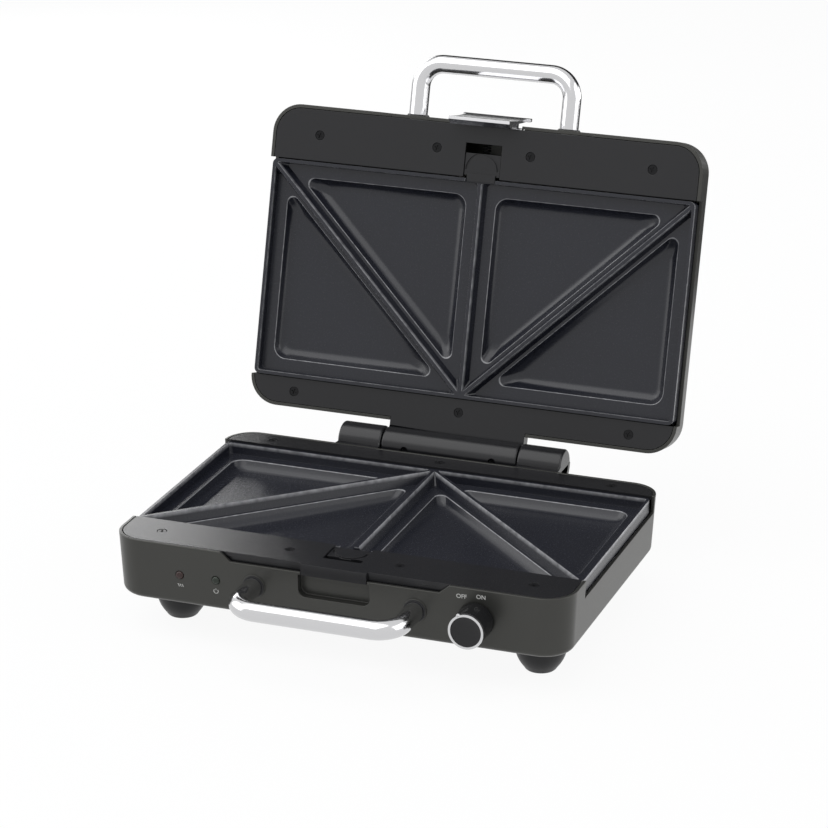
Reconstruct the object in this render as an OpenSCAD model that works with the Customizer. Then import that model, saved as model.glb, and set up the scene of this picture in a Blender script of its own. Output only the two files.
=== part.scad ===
// Sandwich toaster for two slices side by side, shown with its lid open.
// The front, with the lower handle, the knob and the lamps, faces -Y. Z = 0 is the table.
// Both halves are drawn the same way: rim plane at z = 0, housing below it, plate front at y = 0.
// The lid is that half turned over onto the base and then swung back on the hinge.

/* [Cooking plates] */
// Width of each cooking plate
plate_w = 240; // [234:1:246]
// Depth of each cooking plate, front to back
plate_d = 117; // [114:1:120]
// Depth of the ledge below the rim
ledge_deep = 5.8; // [5.4:0.1:6.2]
// Depth of the sandwich pockets below the ledge
pocket_deep = 5; // [4.4:0.2:5.4]
// Thickness of the cast plate
plate_t = 1.8; // [1.6:0.1:2]
// Width of the crest of the rim and of the ridges
crest_w = 1.7; // [1.4:0.1:2]
// Half the width of a ridge where it meets the ledge
ridge_foot = 3; // [2.4:0.2:3.6]
// Reach of the front and rear rims past the plate's nominal depth
rim_out = 0.9; // [0.6:0.1:1]
// Depth of the notch in the front rim for the release's tongue
catch_drop = 2.2; // [2:0.1:2.4]
// Half the width of that tongue
tongue_half = 8; // [7:0.5:8.5]
// Corner radius of the plate
plate_r = 3; // [2:0.5:4]
// Distance from the plate's sides to the pockets
pocket_side = 8.2; // [7.6:0.2:9]
// Distance from the plate's front and rear edges to the pockets
pocket_end = 7.9; // [7.3:0.2:8.7]
// Distance from the middle ridge's line to the pockets
pocket_mid = 8.2; // [7.6:0.2:9]
// Distance from a diagonal ridge's line to the pockets
pocket_diag = 4.4; // [4:0.2:5]
// Radius of the pockets' square corners
pocket_r = 7; // [6:0.5:7.5]
// Radius of the pockets' pointed corners
pocket_tip_r = 3.5; // [3:0.25:4]
// Gap between the two rims when the lid is shut
rim_gap = 0.4; // [0.3:0.1:0.6]

/* [Housings] */
// Width of the side wall outside the plate
side_margin = 2; // [1.9:0.1:2.6]
// Depth of the housing in front of the plate
front_depth = 31.5; // [31:0.5:33]
// Depth of the housing behind the plate
rear_depth = 17.5; // [17:0.5:18.5]
// Upright corner radius of the housings
corner_r = 16; // [14:0.5:17]
// Wall thickness of the housings
shell_t = 1.8; // [1.6:0.1:1.9]
// Thickness of the base's floor, which carries the feet
base_floor = 3.2; // [2.4:0.2:3.4]
// Height of the base's edge above the rim plane
base_face = 1; // [0.8:0.1:1]
// Depth of the base housing below the rim plane
base_deep = 31.5; // [31:0.5:34]
// Draft of the base walls
base_draft = 1.6; // [1.2:0.1:2]
// Radius of the base's lower edge
base_edge_r = 3.5; // [3:0.5:4.5]
// Distance of the lid's edge behind its rim plane
lid_face = 1.6; // [1.5:0.1:1.9]
// Depth of the lid housing behind its rim plane
lid_deep = 26.6; // [26.4:0.2:29]
// Draft of the lid walls
lid_draft = 0.8; // [0.6:0.1:1]
// Radius of the lid's outer edge
lid_edge_r = 11.5; // [9:0.5:12]
// Gap between a plate and the housing's lowered side edge
side_gap = 0.8; // [0.6:0.1:1]
// Gap between the plate and the front and rear bezels
plate_gap = 1.5; // [1.3:0.1:1.8]

/* [Bezels and screws] */
// Thickness of the bezel strips
bezel_t = 2.2; // [2:0.1:2.3]
// Gap between a bezel and the housing wall
bezel_gap = 0.3; // [0.2:0.05:0.4]
// Radius of the screw heads
screw_head_r = 2.4; // [2.2:0.1:2.6]
// Radius of the screw shanks
screw_r = 1.5; // [1.3:0.1:1.6]
// Length of a bezel screw's shank
screw_l = 11; // [9:1:13]
// Distance of the base's outer front screws from the sides
base_screw_side = 22.5; // [21:0.5:24]
// Sideways place of the base's inner front screws
base_screw_in = 29.5; // [29:0.5:32]
// Distance of the lid's outer front screws from the sides
lid_screw_side = 27.5; // [25:0.5:29]
// Sideways place of the lid's inner front screws
lid_screw_in = 26.5; // [26:0.5:29]
// Distance of the outer rear screws from the sides
rear_screw_side = 26; // [24:0.5:28]
// Distance of the front screws from the plate
front_screw_y = 15.5; // [15:0.5:17]
// Distance of the rear screws from the plate
rear_screw_y = 8.8; // [8.4:0.2:9.4]

/* [Latch] */
// Half the width of the long notch at the edge
notch_top = 61; // [58:0.5:63]
// Half the width of the long notch at its bottom
notch_low = 55.5; // [54:0.5:57]
// Depth of the long notch
notch_deep = 4.6; // [4.2:0.2:5]
// Half the width of the keeper block
keeper_w = 17.5; // [16.5:0.5:18]
// Height of the keeper block
keeper_h = 6; // [5.6:0.2:6.2]
// Half the width of the latch pockets
pocket_w = 19; // [18.8:0.2:19.6]
// Depth of the latch pockets behind the front face
pocket_in = 5.5; // [5.2:0.1:5.6]
// Level of the base pocket's floor below the rim plane
keeper_floor = 17; // [16:0.5:18]
// Level of the lid pocket's end behind its rim plane
latch_end = 21; // [20.5:0.1:21.3]
// Half the width of the latch lever
latch_w = 17.2; // [16.6:0.2:17.6]
// Half the width of its finger lip
lip_w = 19.4; // [18.6:0.2:20]
// Reach of the hook past the base's rim plane
hook_reach = 11; // [10.5:0.5:12]
// Thickness of the lever
latch_t = 1.6; // [1.4:0.1:1.8]
// Radius of the latch pin
latch_pin_r = 1.25; // [1.1:0.05:1.4]

/* [Plate releases] */
// Half the width of a release's slot
slot_w = 10.3; // [10:0.1:10.8]
// Distance of the slot's front end from the plate
slot_end = 19.8; // [19.4:0.2:20.4]
// Travel of a release
release_travel = 5; // [4.4:0.2:5]
// Clearance round a release
release_clear = 0.3; // [0.2:0.05:0.35]

/* [Handles] */
// Radius of the handle bar
bar_r = 5; // [4.5:0.25:5.5]
// Half the distance between a handle's legs
handle_half = 43; // [41:0.5:45]
// Distance of the bar's centre line from the front wall
handle_reach = 29; // [27:0.5:31]
// Bend radius of the bar's centre line
handle_bend = 12.5; // [11:0.5:14]
// Level of the base handle below the rim plane
base_handle_z = 15; // [14:0.5:16]
// Level of the lid handle behind its rim plane
lid_handle_z = 13.6; // [13:0.2:14]
// Outer radius of the collars
collar_r = 5.8; // [5.6:0.1:6.4]
// Height of the collars
collar_h = 0.6; // [0.4:0.1:1.2]

/* [Knob and lamps] */
// Distance of the knob's axis from the right side
knob_side = 47; // [45:0.5:49]
// Level of the knob below the rim plane
knob_z = 15.2; // [14.5:0.1:16]
// Radius of the knob
knob_r = 9.4; // [8.8:0.2:10]
// Length of the knob
knob_l = 14.6; // [13:0.2:16]
// Radius of the switch shaft
shaft_r = 3; // [2.5:0.25:3.25]
// Turn of the pointer from upright at OFF
pointer_turn = 27; // [20:1:35]
// Distance of the heat lamp from the left side
heat_lamp_side = 38.5; // [36:0.5:41]
// Distance of the power lamp from the left side
power_lamp_side = 58.3; // [56:0.1:61]
// Level of the lamps below the rim plane
lamp_z = 15; // [14:0.5:16]
// Radius of the lamp lenses
lamp_r = 2.1; // [1.8:0.1:2.4]

/* [Hinge] */
// Distance of the hinge axis behind the housing
hinge_back = 12.65; // [12.4:0.05:13.5]
// Drop of the hinge axis below the rim plane
hinge_drop = 0.7; // [0.4:0.1:1]
// Outer radius of the knuckles
knuckle_r = 9.5; // [9:0.1:9.7]
// Outer radius of the lid's barrel
barrel_r = 9.3; // [8.8:0.1:9.5]
// Half the length of the lid's barrel
barrel_half = 38.6; // [37:0.2:40]
// Half the overall length of the hinge
hinge_half = 63.6; // [62:0.2:66]
// Distance of the barrel's two screws from the middle
barrel_screw_x = 25; // [23:0.5:28]
// Tilt of those screws from the lid's rim plane
barrel_screw_tilt = 11; // [5:1:20]
// Radius of the hinge pins
pin_r = 3; // [2.5:0.25:3.5]
// Running clearance round a turning pin or shaft
run_clear = 0.05; // [0.03:0.01:0.08]
// Opening angle of the lid
lid_open = 105.2; // [95:0.1:108]

/* [Feet] */
// Height of the feet
foot_h = 20.5; // [18:0.5:23]
// Radius of a foot's flat sole
sole_r = 7; // [6:0.5:7.5]
// Radius of a foot where it meets the housing
foot_r = 14.5; // [13.5:0.5:15]
// Distance of the feet from the sides
foot_side = 24.5; // [22:0.5:27]
// Distance of the front feet from the front
foot_front = 35.5; // [33:0.5:38]
// Distance of the rear feet from the back
foot_rear = 17.5; // [17:0.5:20]

/* [Heating] */
// Radius of the heating element
heater_r = 3.25; // [3:0.05:3.5]
// Bend radius of the heating element
heater_bend = 15; // [13:0.5:16]
// Half the width of the heating loop
loop_w = 75; // [72:1:78]
// Distance of the loop's front run from the plate's front edge
loop_front = 30; // [28:1:33]
// Distance of the loop's rear run from the plate's rear edge
loop_rear = 27; // [25:1:30]
// Half the distance between the element's two ends
lead_half = 15; // [14:0.5:16]
// Thickness of the reflector's sheet
reflector_t = 0.8; // [0.6:0.1:0.9]

/* [Hidden] */
$fn = 48;

paint = [0.24, 0.24, 0.22];
black = [0.09, 0.09, 0.1];
coating = [0.12, 0.125, 0.15];
chrome = [0.8, 0.8, 0.82];
steel = [0.6, 0.6, 0.62];
rubber = [0.05, 0.05, 0.055];

plate_h = ledge_deep + plate_t;
body_w = plate_w + 2 * side_margin;
body_d = front_depth + plate_d + rear_depth;
front_y = -front_depth;
rear_y = plate_d + rear_depth;
bezel_x = body_w / 2 - shell_t - bezel_gap;
bezel_front = front_y + shell_t + bezel_gap;
bezel_rear = rear_y - shell_t - bezel_gap;
bezel_r = corner_r - shell_t - bezel_gap;
side_edge = -plate_h - side_gap;
hinge_y = rear_y + hinge_back;
plate_under = -ledge_deep - pocket_deep - plate_t;
heater_z = plate_under - 0.2 - heater_r;
tray_floor = heater_z - heater_r - 2;
tray_in = 5;
tray_end = 4;
pocket_back = front_y + pocket_in;
liner_t = 1.6;
hub_z = -7;
hub_y = front_y + 2.5;
hub_r = 2.4;
bar_y = front_y - handle_reach;
axis_z = rim_gap + hinge_drop;
neck_low = axis_z - barrel_r;
base_screw_out = body_w / 2 - base_screw_side;
lid_screw_out = body_w / 2 - lid_screw_side;
rear_screw_out = body_w / 2 - rear_screw_side;
base_front_screws = [-base_screw_out, -base_screw_in, base_screw_in, base_screw_out];
lid_front_screws = [-lid_screw_out, -lid_screw_in, lid_screw_in, lid_screw_out];
rear_screws = [-rear_screw_out, 0, rear_screw_out];
knob_x = body_w / 2 - knob_side;
heat_lamp_x = -body_w / 2 + heat_lamp_side;
power_lamp_x = -body_w / 2 + power_lamp_side;
tray_screw_in = 15;
reflector_screws = [for (x = [-1, 1], y = [loop_front + tray_screw_in + 10,
                                           plate_d - loop_rear - tray_screw_in])
    [x * (loop_w - tray_screw_in - 10), y]];
switch_front = front_y + shell_t + base_draft;
switch_deep = 12;
gland_x = -61;
gland_z = -20;
foot_x = body_w / 2 - foot_side;
feet_at = [for (x = [-foot_x, foot_x], y = [front_y + foot_front, rear_y - foot_rear]) [x, y]];
stand_h = base_deep + foot_h;
lid_bar_rear = hinge_y - (hinge_y - bar_y) * cos(lid_open)
             + (rim_gap + lid_handle_z + hinge_drop) * sin(lid_open) + bar_r;
mid_y = (bar_y - bar_r + lid_bar_rear) / 2;

// Where each half stands

module base() {
    translate([0, -mid_y, stand_h])
        children();
}

module lid() {
    base()
        translate([0, hinge_y, -hinge_drop])
            rotate([-lid_open, 0, 0])
                translate([0, -hinge_y, hinge_drop + rim_gap])
                    mirror([0, 0, 1])
                        children();
}

// Outlines

function unit(v) = v / norm(v);

// The arc that rounds the corner at q, between the neighbours p and s.
function corner_arc(p, q, s, r, n) =
    let (u = unit(p - q), v = unit(s - q), half = acos(u * v) / 2,
         c = q + unit(u + v) * r / sin(half),
         a = q + u * r / tan(half) - c, b = q + v * r / tan(half) - c,
         from = atan2(a[1], a[0]), turn = (atan2(b[1], b[0]) - from + 540) % 360 - 180)
    [for (i = [0:n]) c + r * [cos(from + turn * i / n), sin(from + turn * i / n)]];

function rounded(points, r, n = 6) =
    let (k = len(points))
    [for (i = [0:k - 1])
        each corner_arc(points[(i + k - 1) % k], points[i], points[(i + 1) % k],
                        is_list(r) ? r[i] : r, n)];

function box_outline(x, y0, y1) = [[-x, y0], [x, y0], [x, y1], [-x, y1]];

// A strip with two rounded corners on its far side and square ones on its near side.
function strip_outline(x, near, far, r) =
    concat([[-x, near]], corner_arc([-x, near], [-x, far], [x, far], r, 8),
           corner_arc([-x, far], [x, far], [x, near], r, 8), [[x, near]]);

// The triangular pockets of the left square, drawn in by d: the inner one and the outer one.
// The first corner is the square one.
slope = plate_d / (plate_w / 2);

function slant(d) = (pocket_diag + d) * sqrt(1 + slope * slope);

function inner_pocket(d) =
    let (x = -pocket_mid - d, y = pocket_end + d)
    [[x, y], [x, slope * (plate_w / 2 + x) - slant(d)], [(y + slant(d)) / slope - plate_w / 2, y]];

function outer_pocket(d) =
    let (x = -plate_w / 2 + pocket_side + d, y = plate_d - pocket_end - d)
    [[x, y], [x, slope * (pocket_side + d) + slant(d)], [(y - slant(d)) / slope - plate_w / 2, y]];

function pocket_radii(d) =
    d < 0 ? [pocket_r - d, pocket_tip_r - d, pocket_tip_r - d]
          : [pocket_r - d * 0.5, pocket_tip_r - d * 0.2, pocket_tip_r - d * 0.2];

// A housing's solid: straight drafted walls that end in a rounded edge.
module block(w, d, y0, r, top, deep, draft, edge) {
    rows = concat([[top, 0]],
                  [for (a = [0:15:90])
                      [-deep + edge * (1 - sin(a)), draft + edge * (1 - cos(a))]]);
    hull()
        for (row = rows, x = [-1, 1], y = [y0 + r, y0 + d - r])
            translate([x * (w / 2 - r), y, row[0]])
                cylinder(r = r - row[1], h = 0.01, $fn = 40);
}

module along_y(y, x = 0, z = 0) {
    translate([x, y, z])
        rotate([-90, 0, 0])
            children();
}

module along_x(x, y = 0, z = 0) {
    translate([x, y, z])
        rotate([0, 90, 0])
            children();
}

// A housing with its screw posts, lowered sides, long front notch and latch pocket.
module housing(face, deep, draft, edge, floor_t, fronts, pocket_top, pocket_low) {
    post_top = face - bezel_t;
    difference() {
        intersection() {
            block(body_w, body_d, front_y, corner_r, face, deep, draft, edge);
            union() {
                difference() {
                    translate([-body_w / 2, front_y, -deep])
                        cube([body_w, body_d, deep + face + 1]);
                    block(body_w - 2 * shell_t, body_d - 2 * shell_t, front_y + shell_t,
                          corner_r - shell_t, face + 2, deep - floor_t, draft,
                          max(1, edge - floor_t));
                }
                for (x = fronts)
                    translate([x, -front_screw_y, -deep])
                        cylinder(r = 4, h = deep + post_top);
                for (x = rear_screws)
                    translate([x, plate_d + rear_screw_y, -deep])
                        cylinder(r = 3.8, h = deep + post_top);
                for (at = reflector_screws)
                    translate([at[0], at[1], -deep])
                        cylinder(r = 3.5, h = deep + tray_floor - reflector_t);
                translate([-pocket_w - liner_t, front_y, -pocket_low - liner_t])
                    cube([2 * (pocket_w + liner_t), pocket_in + liner_t,
                          pocket_low + liner_t + pocket_top - 0.3]);
            }
        }
        for (x = fronts)
            translate([x, -front_screw_y, post_top - screw_l])
                cylinder(r = screw_r + 0.05, h = screw_l + 1);
        for (x = rear_screws)
            translate([x, plate_d + rear_screw_y, post_top - screw_l])
                cylinder(r = screw_r + 0.05, h = screw_l + 1);
        for (at = reflector_screws)
            translate([at[0], at[1], -deep + floor_t + 0.2])
                cylinder(r = 1.35, h = deep);
        translate([-body_w, -plate_gap, side_edge])
            cube([2 * body_w, plate_d + 2 * plate_gap, 20]);
        along_y(front_y - 1)
            linear_extrude(shell_t + 2)
                polygon([[-notch_top, -face - 1], [-notch_top, -face], [-notch_low, notch_deep - face],
                         [notch_low, notch_deep - face], [notch_top, -face], [notch_top, -face - 1]]);
        along_y(front_y - 1)
            linear_extrude(pocket_in + 1)
                polygon(concat([[-pocket_w, -pocket_top], [pocket_w, -pocket_top]],
                               corner_arc([pocket_w, 0], [pocket_w, pocket_low], [0, pocket_low], 4, 4),
                               corner_arc([0, pocket_low], [-pocket_w, pocket_low],
                                          [-pocket_w, 0], 4, 4)));
    }
}

// A raised round pad on the front wall, on which a handle's leg and collar sit.
module handle_pads(z) {
    for (x = [-handle_half, handle_half])
        along_y(front_y, x, -z)
            cylinder(r = collar_r + 0.4, h = shell_t + 1.2);
}

module handle_holes(z) {
    for (x = [-handle_half, handle_half])
        along_y(front_y - 1, x, -z)
            cylinder(r = 3.5, h = 9);
}

// One cooking plate: two squares, each split by a diagonal ridge into two triangular pockets.
module cooking_plate() {
    half = plate_w / 2;
    front = -rim_out;
    rear = plate_d + rim_out;
    difference() {
        union() {
            difference() {
                translate([0, 0, -plate_h])
                    linear_extrude(plate_h)
                        polygon(rounded(box_outline(half, front, rear), plate_r));
                translate([0, 0, -ledge_deep])
                    linear_extrude(plate_h)
                        polygon(rounded(box_outline(half - crest_w, front + crest_w,
                                                    rear - crest_w), 2));
            }
            intersection() {
                translate([0, 0, -ledge_deep - 0.4])
                    linear_extrude(plate_h)
                        polygon(box_outline(half - crest_w / 2, front + crest_w / 2,
                                            rear - crest_w / 2));
                union() {
                    ridge([0, front], [0, rear]);
                    for (x = [-half, half])
                        ridge([x, 0], [0, plate_d]);
                }
            }
            for (side = [0, 1], d = [inner_pocket(-0.5), outer_pocket(-0.5)])
                mirror([side, 0, 0])
                    translate([0, 0, plate_under])
                        linear_extrude(pocket_deep + plate_t)
                            polygon(rounded(d, pocket_radii(-0.5)));
            for (x = [-plate_w * 0.36, plate_w * 0.36])
                translate([x - 7, plate_d - 1, -plate_h + plate_t])
                    cube([14, 5, 1.5]);
        }
        translate([-tongue_half - 0.6, front - 1, -catch_drop])
            cube([2 * (tongue_half + 0.6), crest_w + 1.2, plate_h]);
        for (side = [0, 1]) {
            mirror([side, 0, 0])
                pocket(0);
            mirror([side, 0, 0])
                pocket(1);
        }
    }
}

// A ridge between the plan points p and q, as high as the rim.
module ridge(p, q) {
    sunk = 0.5;
    foot = ridge_foot + (ridge_foot - crest_w / 2) * sunk / ledge_deep;
    translate([p[0], p[1], 0])
        rotate([0, 0, atan2(q[1] - p[1], q[0] - p[0])])
            rotate([90, 0, 90])
                linear_extrude(norm(q - p))
                    polygon([[-foot, -ledge_deep - sunk], [foot, -ledge_deep - sunk],
                             [crest_w / 2, 0], [-crest_w / 2, 0]]);
}

// The hollow of one triangular pocket, whose sloping sides end in a wide rounded foot.
module pocket(outer) {
    hull()
        for (row = [[0, 0.2], [1.6, 2.6 - pocket_deep], [2.6, 1.5 - pocket_deep],
                    [3.6, 0.8 - pocket_deep], [5.2, 0.2 - pocket_deep], [6.5, -pocket_deep]])
            translate([0, 0, row[1] - ledge_deep])
                linear_extrude(0.01)
                    polygon(rounded(outer ? outer_pocket(row[0]) : inner_pocket(row[0]),
                                    pocket_radii(row[0]), 5));
}

// The sheathed heating element: a loop under the pockets with both ends at the front.
module heating_element() {
    rear = plate_d - loop_rear;
    b = heater_bend;
    translate([0, 0, heater_z]) {
        along_x(-loop_w + b, rear)
            cylinder(r = heater_r, h = 2 * (loop_w - b));
        for (side = [0, 1])
            mirror([side, 0, 0]) {
                along_y(-4, lead_half)
                    cylinder(r = heater_r, h = loop_front - b + 4);
                along_y(-12, lead_half)
                    cylinder(r = 1.5, h = 9);
                bend(lead_half + b, loop_front - b, 90);
                along_x(lead_half + b, loop_front)
                    cylinder(r = heater_r, h = loop_w - lead_half - 2 * b);
                bend(loop_w - b, loop_front + b, -90);
                along_y(loop_front + b, loop_w)
                    cylinder(r = heater_r, h = rear - loop_front - 2 * b);
                bend(loop_w - b, rear - b, 0);
            }
    }
}

module bend(x, y, start) {
    translate([x, y, 0])
        rotate([0, 0, start])
            rotate_extrude(angle = 90)
                translate([heater_bend, 0])
                    circle(r = heater_r);
}

// Saddles that hold the element to the reflector.
module heater_clip_set() {
    difference() {
        for (at = [[-loop_w, plate_d / 2, 0], [loop_w, plate_d / 2, 0],
                   [-30, plate_d - loop_rear, 1], [30, plate_d - loop_rear, 1]])
            translate([at[0], at[1], tray_floor])
                rotate([0, 0, 90 * at[2]])
                    translate([-heater_r - 1.6, -5, 0])
                        cube([2 * heater_r + 3.2, 10, heater_z - tray_floor]);
        for (x = [-loop_w, loop_w])
            along_y(plate_d / 2 - 6, x, heater_z)
                cylinder(r = heater_r + 0.05, h = 12);
        along_x(-40, plate_d - loop_rear, heater_z)
            cylinder(r = heater_r + 0.05, h = 80);
    }
}

// The steel tray under the element, hung by its flange under the cooking plate.
module reflector_tray() {
    x = plate_w / 2 - tray_in;
    top = -plate_h - 0.1;
    low = tray_floor - reflector_t;
    difference() {
        union() {
            translate([0, 0, low])
                linear_extrude(top - low)
                    polygon(rounded(box_outline(x, tray_end, plate_d - tray_end), 6));
            translate([0, 0, top - reflector_t])
                linear_extrude(reflector_t)
                    polygon(rounded(box_outline(x + 3, 1, plate_d - 1), 4));
        }
        translate([0, 0, tray_floor])
            linear_extrude(20)
                polygon(rounded(box_outline(x - reflector_t, tray_end + reflector_t,
                                            plate_d - tray_end - reflector_t), 5.2));
        for (side = [-lead_half, lead_half])
            along_y(-2, side, heater_z)
                cylinder(r = heater_r + 0.4, h = 12);
        for (at = reflector_screws)
            translate([at[0], at[1], low - 1])
                cylinder(r = 1.5, h = 3);
    }
}

module reflector_screw_set() {
    for (at = reflector_screws)
        translate([at[0], at[1], tray_floor]) {
            cylinder(r = 2.4, h = 1.4);
            translate([0, 0, -2.4])
                cylinder(r = 1.3, h = 2.5);
        }
}

// A disc thermostat pressed against the underside of the plate's middle bar.
module disc_thermostat() {
    top = -plate_h - 0.1;
    translate([0, 40, top - 6]) {
        cylinder(r = 6.2, h = 6);
        for (x = [-4, 4])
            translate([x - 1, -0.4, -3])
                cube([2, 0.8, 3.5]);
    }
    translate([0, 40, tray_floor])
        cylinder(r = 2.2, h = top - 6 - tray_floor);
}

// A bezel's own plate with its screw holes.
module bezel_plate(face, outline, holes, y) {
    difference() {
        translate([0, 0, face - bezel_t])
            linear_extrude(bezel_t)
                polygon(outline);
        for (x = holes)
            translate([x, y, face - bezel_t - 1]) {
                cylinder(r = screw_r + 0.3, h = bezel_t + 2);
                translate([0, 0, bezel_t - 0.3])
                    cylinder(r = screw_head_r + 0.25, h = 2);
            }
    }
}

// The front bezel: the strip, a lip down into the long notch, a lip beside the plate, the
// release's slot and the stop behind its spring. The keeper's block is on the base's only.
module front_bezel(face, holes, keeper, handle_z) {
    under = face - bezel_t;
    lip_low = face - notch_deep - 1.4;
    bare = keeper ? 0 : pocket_w + liner_t + 0.3;
    difference() {
        union() {
            bezel_plate(face, strip_outline(bezel_x, -plate_gap, bezel_front, bezel_r), holes,
                        -front_screw_y);
            for (side = [0, 1])
                mirror([side, 0, 0])
                    translate([bare, bezel_front + 0.5, lip_low])
                        cube([notch_top + 0.5 - bare, 1.4, under - lip_low + 0.1]);
            for (side = [0, 1])
                mirror([side, 0, 0])
                    translate([slot_w + 3, -plate_gap - 1.2, side_edge + 1])
                        cube([bezel_x - slot_w - 4, 1.2, under - side_edge - 0.9]);
            if (keeper)
                translate([-keeper_w, front_y + 0.2, face - keeper_h])
                    cube([2 * keeper_w, shell_t + bezel_gap + 1.4, keeper_h]);
            translate([-5, -slot_end - 4.2, face - 9])
                cube([10, 1.2, under - face + 9.1]);
        }
        translate([-slot_w, -slot_end, under - 1])
            cube([2 * slot_w, slot_end, bezel_t + 2]);
        for (x = [-handle_half, handle_half])
            along_y(front_y + shell_t, x, -handle_z)
                cylinder(r = collar_r + 0.7, h = 4);
    }
}

// A screw seen from its head: pan head with a cross recess.
module bezel_screw(x, y, face) {
    seat = face - 1.3;
    difference() {
        union() {
            translate([x, y, seat])
                cylinder(r = screw_head_r, h = 1.1);
            translate([x, y, face - bezel_t - screw_l + 0.5])
                cylinder(r = screw_r, h = seat - face + bezel_t + screw_l - 0.4);
        }
        for (turn = [20, 110])
            translate([x, y, seat + 0.4])
                rotate([0, 0, turn])
                    translate([-1.5, -0.3, 0])
                        cube([3, 0.6, 2]);
    }
}

// The sliding release: a thumb piece in the slot, guided from below, with a tongue over the plate.
module release(face) {
    under = face - bezel_t;
    c = release_clear;
    back = slot_end - release_travel - c;
    difference() {
        translate([-slot_w + c, -back, under - c])
            cube([2 * (slot_w - c), back - 2.6, bezel_t + c - 0.7]);
        translate([0, -plate_gap - 4, face - 1.5])
            difference() {
                cylinder(r = 9.5, h = 2);
                translate([0, 0, -1])
                    cylinder(r = 8.3, h = 4);
                translate([-12, 0, -1])
                    cube([24, 12, 4]);
            }
    }
    translate([-slot_w - 2.2, -back, under - c - 1.4])
        cube([2 * (slot_w + 2.2), back - 3.2, 1.4]);
    translate([-tongue_half, -3.6, under - c - 1.4])
        cube([2 * tongue_half, 1, c + 1.4 - under - catch_drop + 1]);
    translate([-tongue_half, -3.6, -catch_drop + 0.1])
        cube([2 * tongue_half, 3.4 + crest_w - rim_out, 0.9]);
    translate([-4, -back, face - 9])
        cube([8, 2, 9.4 - bezel_t]);
}

// A compression spring along +Y, as one unbroken tube of round wire.
module coil(length, turns, r, wire, sides = 6, steps = 12) {
    rise = length - 2 * wire;
    n = turns * steps;
    points = [for (i = [0:n], j = [0:sides - 1])
        let (a = 360 * i / steps, b = 360 * j / sides, q = r + wire * cos(b))
        [q * cos(a), wire + rise * i / n + wire * sin(b), q * sin(a)]];
    faces = concat([[for (j = [0:sides - 1]) j]],
        [for (i = [0:n - 1], j = [0:sides - 1])
            let (k = (j + 1) % sides)
            [i * sides + j, (i + 1) * sides + j, (i + 1) * sides + k, i * sides + k]],
        [[for (j = [sides - 1:-1:0]) n * sides + j]]);
    polyhedron(points = points, faces = faces, convexity = 8);
}

module release_coil(face) {
    start = -slot_end - 3;
    end = -(slot_end - release_travel - release_clear);
    translate([0, start, face - 6.2])
        coil(end - start, 5, 2, 0.3);
}

// A handle: one round bar bent twice, whose spigots pass through the wall.
module handle(z) {
    leg = handle_reach - handle_bend;
    translate([0, 0, -z]) {
        for (side = [0, 1])
            mirror([side, 0, 0]) {
                difference() {
                    union() {
                        along_y(front_y - leg, handle_half)
                            cylinder(r = bar_r, h = leg);
                        along_y(front_y - 0.1, handle_half)
                            cylinder(r = 3.4, h = shell_t + 1.2);
                    }
                    along_y(front_y - 12, handle_half)
                        cylinder(r = 1.5, h = 20);
                }
                translate([handle_half - handle_bend, front_y - leg, 0])
                    rotate([0, 0, -90])
                        rotate_extrude(angle = 90)
                            translate([handle_bend, 0])
                                circle(r = bar_r);
            }
        along_x(-handle_half + handle_bend, bar_y)
            cylinder(r = bar_r, h = 2 * (handle_half - handle_bend));
    }
}

module collars(z) {
    for (x = [-handle_half, handle_half])
        along_y(front_y - collar_h, x, -z)
            difference() {
                cylinder(r = collar_r, h = collar_h);
                translate([0, 0, -1])
                    cylinder(r = bar_r + 0.05, h = collar_h + 2);
            }
}

module handle_screw_set(z) {
    for (x = [-handle_half, handle_half]) {
        along_y(front_y + shell_t + 1.2, x, -z)
            cylinder(r = 4.2, h = 2);
        along_y(front_y - 8, x, -z)
            cylinder(r = 1.45, h = shell_t + 9.3);
    }
}

// Base

module base_shell() {
    lug_top = -hinge_drop - 0.25;
    color(paint)
        base()
            difference() {
                union() {
                    housing(base_face, base_deep, base_draft, base_edge_r, base_floor,
                            base_front_screws, base_face - keeper_h, keeper_floor);
                    handle_pads(base_handle_z);
                    for (at = feet_at)
                        translate([at[0], at[1], -base_deep + 0.5])
                            cylinder(r = 4.5, h = 7.5);
                    for (side = [0, 1])
                        mirror([side, 0, 0])
                            intersection() {
                                union() {
                                    along_x(barrel_half + 0.4, hinge_y, -hinge_drop)
                                        cylinder(r = knuckle_r, h = hinge_half - barrel_half - 0.4);
                                    translate([barrel_half + 0.4, rear_y - 2.5,
                                               -hinge_drop - knuckle_r])
                                        cube([hinge_half - barrel_half - 0.4, hinge_back + 2.5,
                                              knuckle_r]);
                                }
                                translate([0, rear_y - 3, lug_top - 30])
                                    cube([100, 40, 30]);
                            }
                }
                for (side = [0, 1])
                    mirror([side, 0, 0]) {
                        along_x(barrel_half, hinge_y, -hinge_drop)
                            cylinder(r = 6.15, h = hinge_half - barrel_half + 1);
                        translate([barrel_half + 0.2, rear_y - shell_t - 1, base_face - bezel_t - 0.3])
                            cube([hinge_half - barrel_half, hinge_back + 10, 20]);
                    }
                translate([-keeper_w - 0.2, front_y - 1, base_face - keeper_h - 0.2])
                    cube([2 * keeper_w + 0.4, shell_t + 3, keeper_h + 1]);
                handle_holes(base_handle_z);
                along_y(front_y - 1, knob_x, -knob_z)
                    cylinder(r = shaft_r + 1.6, h = 6);
                for (x = [heat_lamp_x, power_lamp_x])
                    along_y(front_y - 1, x, -lamp_z)
                        cylinder(r = lamp_r + 0.1, h = 6);
                along_y(rear_y - 8, gland_x, gland_z)
                    cylinder(r = 6, h = 10);
                for (at = feet_at)
                    translate([at[0], at[1], -base_deep - 1])
                        cylinder(r = 1.85, h = 8.5);
            }
}

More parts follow.
